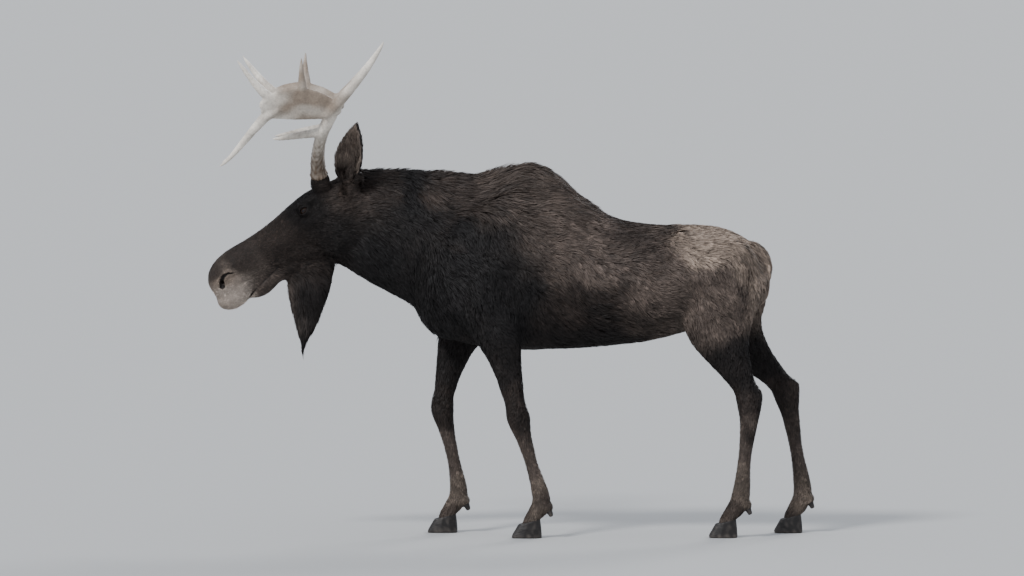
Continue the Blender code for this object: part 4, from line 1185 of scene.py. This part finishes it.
LEG_TOP = 0.80
BREAST = -0.06  # a leg's skin lies behind this share of the trunk
GIRTH = 0.55  # and this share parts the front legs from the hind legs
NECK_END, SHOULDER_END, FLANK_END = 0.07, 0.34, 0.68  # further shares of the trunk
FACE_START = 0.30  # the face begins at this share of the head
RANDOM_SEED = 17
random = np.random.default_rng(RANDOM_SEED)
ear_faces = ear_measures(centres)[0]
head_faces = of_head(centres) & ~ear_faces
share_of_trunk = (centres[:, 0] - trunk_low.x) / trunk_length
leg_faces = (centres[:, 2] < LEG_TOP) & ~head_faces & (share_of_trunk > BREAST)
trunk_faces = ~(ear_faces | head_faces | leg_faces)
left = centres[:, 1] < 0
ahead = (centres - poll) @ FACE
REGIONS = [  # name, which faces, slot
    ("face", head_faces & (ahead > FACE_START * HEAD_LENGTH), "coat"),
    ("cheeks", head_faces & (ahead <= FACE_START * HEAD_LENGTH), "coat"),
    ("neck", trunk_faces & (share_of_trunk < NECK_END), "coat"),
    ("front_legs", leg_faces & (share_of_trunk < GIRTH), "leg_coat"),
    ("hind_legs", leg_faces & (share_of_trunk >= GIRTH), "leg_coat"),
]
TRUNK_PARTS = (
    ("shoulder", NECK_END, SHOULDER_END),
    ("flank", SHOULDER_END, FLANK_END),
    ("quarter", FLANK_END, math.inf),
)
for part, start, end in TRUNK_PARTS:
    band = trunk_faces & (share_of_trunk >= start) & (share_of_trunk < end)
    REGIONS += [(f"left_{part}", band & left, "coat"), (f"right_{part}", band & ~left, "coat")]
for name, kept, slot in REGIONS:
    roots, spots, own, lie = comb(areas * measures[:, NUMBER] * kept, random)
    dress(
        name, roots, spots, own[:, LENGTH], own[:, DEPTH], own[:, WIDTH], lie, own[:, COLOUR], random
    )

# The ears are furred short and dark behind, and long and pale inside, with a fringe on their rims.
EAR_NUMBER = 42000
EAR_BACK_LENGTH, EAR_INSIDE_LENGTH = 0.016, 0.036
LENGTH_AT_ROOT, LENGTH_LOSS = 1.1, 0.6  # the hair inside is shorter towards the tip
EAR_BACK_DEPTH, EAR_INSIDE_DEPTH = 0.0035, 0.010
EAR_HAIR_WIDTH = 0.0030
EAR_HAIR_PALE = (0.21, 0.165, 0.135)
PALE_LOSS = 0.35  # and less pale
FRINGE = 0.25  # how far it leans out of the hollow
roots, spots, own, lie = comb(areas * EAR_NUMBER * ear_faces, random)
along_ear, ear_way, ear_facing = ear_measures(roots)[1:]
inside = smooth_step(*FACING_OPEN, (head_field.away(roots) * ear_facing).sum(1))
inside_length = EAR_INSIDE_LENGTH * (LENGTH_AT_ROOT - LENGTH_LOSS * along_ear)
length = EAR_BACK_LENGTH + (inside_length - EAR_BACK_LENGTH) * inside
depth = np.where(inside > 0.5, EAR_INSIDE_DEPTH, EAR_BACK_DEPTH)
pale = inside * smooth_step(*EAR_FLOOR, along_ear) * (1 - PALE_LOSS * along_ear)
dress(
    "ears",
    roots,
    spots,
    length,
    depth,
    np.full(len(roots), EAR_HAIR_WIDTH),
    ear_way + FRINGE * ear_facing * inside[:, None],
    mixed(DARK_BROWN, EAR_HAIR_PALE, pale),
    random,
)

# Stiff lashes stand out from the edge of each upper lid and droop over the eye.
LASHES = 70  # over each eye
LASH_LENGTH, LASH_WIDTH = 0.017, 0.0007
LASH_ROW, LASH_RISE = 0.86, 0.002  # the row's length beside the slit's, and its height off the eyeball
LASH_FAN, LASH_STRAY = 0.45, 0.12
LASH_LENGTHS, LASH_DROOPS = (0.6, 1.1), (0.25, 0.50)  # the least and the most
LASH_STATIONS = (0, 0.35, 0.7, 1)
near_eye = np.flatnonzero(of_head(centres) & (np.abs((centres - eye_middle) @ FACE) < EYE_SIZE))
lash_tree = kdtree.KDTree(len(near_eye))
for index in near_eye:
    lash_tree.insert(centres[index], index)
lash_tree.balance()
lashes, lash_spots = [], []
for side, name in ((-1, "eye_left"), (1, "eye_right")):
    outwards, forwards, upwards = eye_directions(side)
    row = LASH_ROW * APERTURE_HALF_LENGTH
    edge = lid_line(side, centre_of(name), APERTURE_HALF_HEIGHT, row, LASH_RISE, LASHES)
    for k, root in enumerate(edge):
        spread = LASH_FAN * (2 * k / (LASHES - 1) - 1) + random.normal(0, LASH_STRAY)
        way = outwards + forwards * spread
        length = LASH_LENGTH * random.uniform(*LASH_LENGTHS)
        droop = random.uniform(*LASH_DROOPS)
        lashes.append([root + length * (way * t - upwards * droop * t * t) for t in LASH_STATIONS])
        lash_spots.append(skin_map[skin_loops[lash_tree.find(root)[1]]].mean(0))
points, faces = blades(np.array(lashes), np.full(len(lashes), LASH_WIDTH), random)
lash_shade = np.broadcast_to(np.array(SOOT), (*points.shape[:2], 3))
make_locks("coat_lashes", points, faces, lash_shade, np.array(lash_spots))


# ================================================================ eyes
# Dark wet eyeballs with a long level pupil, set behind the lids. A clear bulging front lies over a
# brown iris.
EYE_RINGS, EYE_SEGMENTS = 32, 48
CORNEA_RISE = 0.0016
CORNEA_REACH = math.radians(34)
IRIS_BROWN = (0.018, 0.008, 0.0040, 1)
PUPIL_BLACK = (0.004, 0.004, 0.006, 1)
EYE_RIM = (0.018, 0.012, 0.010, 1)
EYE_ROUGHNESS, EYE_SHINE, EYE_IOR = 0.06, 0.42, 1.38
RING_LENGTH, RING_RISE = 0.42, 0.20  # the rings of colour round the pupil, in shares of the radius
RING_SCALE = 0.33
PUPIL_END, IRIS_START, IRIS_END = 0.30, 0.38, 0.85

wet_eye = bpy.data.materials.new("wet_eye")
wet_eye.use_nodes = True
tree = wet_eye.node_tree
shader = tree.nodes["Principled BSDF"]
shader.inputs["Roughness"].default_value = EYE_ROUGHNESS
shader.inputs["Specular IOR Level"].default_value = EYE_SHINE
shader.inputs["IOR"].default_value = EYE_IOR
place_node = tree.nodes.new("ShaderNodeTexCoord")
flattened = tree.nodes.new("ShaderNodeMapping")
ring_shape = (1.0 / (RING_LENGTH * eye_radius), 1.0 / (RING_RISE * eye_radius), 0)
flattened.inputs["Scale"].default_value = ring_shape
distance = tree.nodes.new("ShaderNodeVectorMath")
distance.operation = "LENGTH"
iris = tree.nodes.new("ShaderNodeValToRGB")
bands = iris.color_ramp.elements
bands[0].position, bands[0].color = PUPIL_END, PUPIL_BLACK
bands[1].position, bands[1].color = IRIS_START, IRIS_BROWN
bands.new(IRIS_END).color = EYE_RIM
shrink = tree.nodes.new("ShaderNodeMath")
shrink.operation = "MULTIPLY"
shrink.inputs[1].default_value = RING_SCALE
tree.links.new(place_node.outputs["Object"], flattened.inputs["Vector"])
tree.links.new(flattened.outputs["Vector"], distance.inputs[0])
tree.links.new(distance.outputs["Value"], shrink.inputs[0])
tree.links.new(shrink.outputs["Value"], iris.inputs["Fac"])
tree.links.new(iris.outputs["Color"], shader.inputs["Base Color"])

for side, node in ((-1, "eye_left"), (1, "eye_right")):
    bpy.ops.mesh.primitive_uv_sphere_add(segments=EYE_SEGMENTS, ring_count=EYE_RINGS, radius=eye_radius)
    eyeball = bpy.context.object
    eyeball.name = node.replace("eye", "eyeball")
    for vertex in eyeball.data.vertices:
        off_axis = math.acos(max(-1.0, min(1.0, vertex.co.z / eye_radius)))
        bulge = max(0.0, math.cos(min(off_axis / CORNEA_REACH, 1.0) * math.pi / 2))
        vertex.co *= 1 + CORNEA_RISE / eye_radius * bulge
    eyeball.data.shade_smooth()
    outwards, forwards, upwards = (Vector(way) for way in eye_directions(side))
    turn = Matrix((forwards, outwards.cross(forwards), outwards)).transposed()
    eyeball.matrix_world = Matrix.Translation(centre_of(node)) @ turn.to_4x4()
    eyeball.data.materials.append(wet_eye)
    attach(eyeball, "root")
    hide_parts(node)


# ================================================================ antlers
# Dead bone, shed every winter: a knobbly burr on the pedicle, a grooved beam, a dished palm and smooth
# pointed tines. Brown with sap and bark near the head, and rubbed pale towards the points.
ANTLER_CLOSING_VOXEL = 0.0030
ANTLER_VOXEL, ANTLER_SOFTENING = 0.0034, 0.0034
ANTLER_REACH, ANTLER_MARGIN = 0.022, 0.02
ANTLER_ADAPTIVITY = 0.004
FOOT_HEIGHT = 0.030  # the slice of the beam whose middle is its foot
STEM_RISE, STEM_SLICE = 0.08, 0.03  # and the slice further up that gives its lean
BURR_RISE, BURR_RADIUS, BURR_REACH, BURR_BLEND = 0.030, 0.027, 0.07, 0.007
BURR_THICKNESS = 0.0085
BURR_KNOBS, KNOB_HEIGHT = 11, 0.0028
BURR_WAVES, WAVE_HEIGHT = 7, 0.0015  # a coarser wave, which keeps the knobs from being alike
PEARL_SIZE, PEARL_HEIGHT, PEARL_SEED = 0.013, 0.0014, 3
GROOVE_SIZE, GROOVE_DEPTH, GROOVE_SEED = 0.020, 0.0009, 5
GROOVE_STRETCH = (1.0, 1.0, 0.25)
GROOVE_LEAST = 0.35  # how deep they stay far from the head
STAIN_START, STAIN_END = 0.03, 0.38  # the brown of the head fades between these distances from the burr
PALM_SHAPE = (1.0, 0.5, 1.0)
PALM_START, PALM_END = 0.10, 0.27  # and the palm's brown between these from its middle
CLOUD_SHADE, CLOUD_SIZE, CLOUD_SEED = 0.25, 0.11, 9
STAIN_SHARE, GROOVE_STAIN = 0.95, 0.10
BONE_PALE = (0.86, 0.79, 0.69)
BONE_BROWN = (0.120, 0.078, 0.048)
BONE_PALM = (0.29, 0.225, 0.170)
antler_bone = textured(
    "antler_bone",
    roughness=0.52,
    bumps=((140, (1, 1, 1), 0.0009), (45, (1, 1, 1), 0.0018)),
    spots=((14, 0.78, 1.12), (110, 0.82, 1.10)),
)

for hand in ("left", "right"):
    parts = [f"antler_{hand}_{part}" for part in ("beam", "palm", "brow")]
    boxes = [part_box(part) for part in parts]
    low = np.min([box[0] for box in boxes], axis=0) - ANTLER_MARGIN
    high = np.max([box[1] for box in boxes], axis=0) + ANTLER_MARGIN
    bone = Field(closed_surface(parts, ANTLER_CLOSING_VOXEL), ANTLER_VOXEL, ANTLER_REACH, low, high)
    bone.soften(ANTLER_SOFTENING)
    beam = surface_of(parts[:1])[0]
    foot = beam[beam[:, 2] < low[2] + ANTLER_MARGIN + FOOT_HEIGHT].mean(0)
    above = beam[np.abs(beam[:, 2] - foot[2] - STEM_RISE) < STEM_SLICE].mean(0)
    axis = (above - foot) / np.linalg.norm(above - foot)
    burr = foot + axis * BURR_RISE
    part = bone.part_near(burr, BURR_REACH)
    x, y, z = (line - value for line, value in zip(bone.axes(part), burr))
    height = x * axis[0] + y * axis[1] + z * axis[2]
    radius = np.sqrt(np.maximum(x**2 + y**2 + z**2 - height**2, 0))
    round_it = np.arctan2(y, x)
    knobs = BURR_THICKNESS + KNOB_HEIGHT * np.cos(BURR_KNOBS * round_it)
    knobs = knobs + WAVE_HEIGHT * np.cos(BURR_WAVES * round_it + 1)
    join(bone, part, np.sqrt((radius - BURR_RADIUS) ** 2 + height**2) - knobs, BURR_BLEND)
    points, triangles, quads = outward(bone.mesh(ANTLER_ADAPTIVITY))
    away = bone.away(points)
    from_burr = np.linalg.norm(points - burr, axis=1)
    palm_middle = centre_of(parts[1])
    from_palm = np.linalg.norm((points - palm_middle) * PALM_SHAPE, axis=1)
    near_head = 1 - smooth_step(STAIN_START, STAIN_END, from_burr)
    pearls = np.maximum(lumps(points, PEARL_SIZE, PEARL_SEED), 0)
    grooves = lumps(points * GROOVE_STRETCH, GROOVE_SIZE, GROOVE_SEED)
    rise = PEARL_HEIGHT * near_head * pearls + GROOVE_DEPTH * (GROOVE_LEAST + near_head) * grooves
    points = points + away * rise[:, None].astype(np.float32)
    clouds = CLOUD_SHADE * lumps(points, CLOUD_SIZE, CLOUD_SEED)
    shade = mixed(BONE_PALM, BONE_PALE, smooth_step(PALM_START, PALM_END, from_palm) + clouds)
    shade = mixed(shade, BONE_BROWN, near_head * STAIN_SHARE + GROOVE_STAIN * grooves)
    mesh = make_mesh(f"antler_{hand}", [(points, triangles, quads)])
    add_colours(mesh, shade)
    add_piece(f"antler_{hand}", mesh, antler_bone, parts)


# ================================================================ hoofs and dewclaws
# Black-brown horn shells grown down from the hair line: two long pointed claws to a foot, with faint
# growth rings and scuffed paler edges, and two dewclaws behind. The soles are flat on the floor.
HORN_VOXEL = 0.0026
HORN_REACH, HORN_MARGIN = 0.010, 0.012
HORN_ADAPTIVITY = 0.01
HORN_DARK = (0.017, 0.0145, 0.0135)
HORN_SCUFFED = (0.085, 0.072, 0.062)
RING_SPACING, RING_HEIGHT = 0.0085, 0.00035
RING_SLOPE = 0.25  # the rings fall towards the toe as the hair line does
WORN_HEIGHT, WORN_SHARE = 0.030, 0.45  # the scuffed edge over the sole
SCUFF_SHADE, SCUFF_SIZE, SCUFF_SEED = 0.5, 0.03, 11
horn = textured(
    "horn",
    roughness=0.46,
    bumps=((90, (1, 1, 0.15), 0.0010), (30, (0.4, 0.4, 3.0), 0.0012)),  # fibres, and growth rings
    spots=((35, 0.75, 1.25),),
    specular=0.32,
)
horn_nodes = [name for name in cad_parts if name.startswith(("hoof_", "dewclaw_"))]
for node in sorted(horn_nodes):
    low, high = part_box(node)
    corners = (np.array(low) - HORN_MARGIN, np.array(high) + HORN_MARGIN)
    shell = Field(surface_of([node]), HORN_VOXEL, HORN_REACH, *corners)
    shell.soften(HORN_VOXEL)
    x, y, z = shell.axes()
    rings = np.sin((z + RING_SLOPE * (x - low.x)) * 2 * np.pi / RING_SPACING)
    shell.values += (RING_HEIGHT * rings).astype(np.float32)
    shell.values = np.maximum(shell.values, low.z - z)
    surface = outward(shell.mesh(HORN_ADAPTIVITY))
    points = surface[0]
    worn = 1 - smooth_step(0.0, WORN_HEIGHT, points[:, 2] - low.z)
    worn = worn + SCUFF_SHADE * lumps(points, SCUFF_SIZE, SCUFF_SEED)
    name = node.replace("hoof", "hoof_horn").replace("dewclaw", "dewclaw_horn")
    mesh = make_mesh(name, [surface])
    add_colours(mesh, mixed(HORN_DARK, HORN_SCUFFED, WORN_SHARE * worn))
    add_piece(name, mesh, horn, [node])
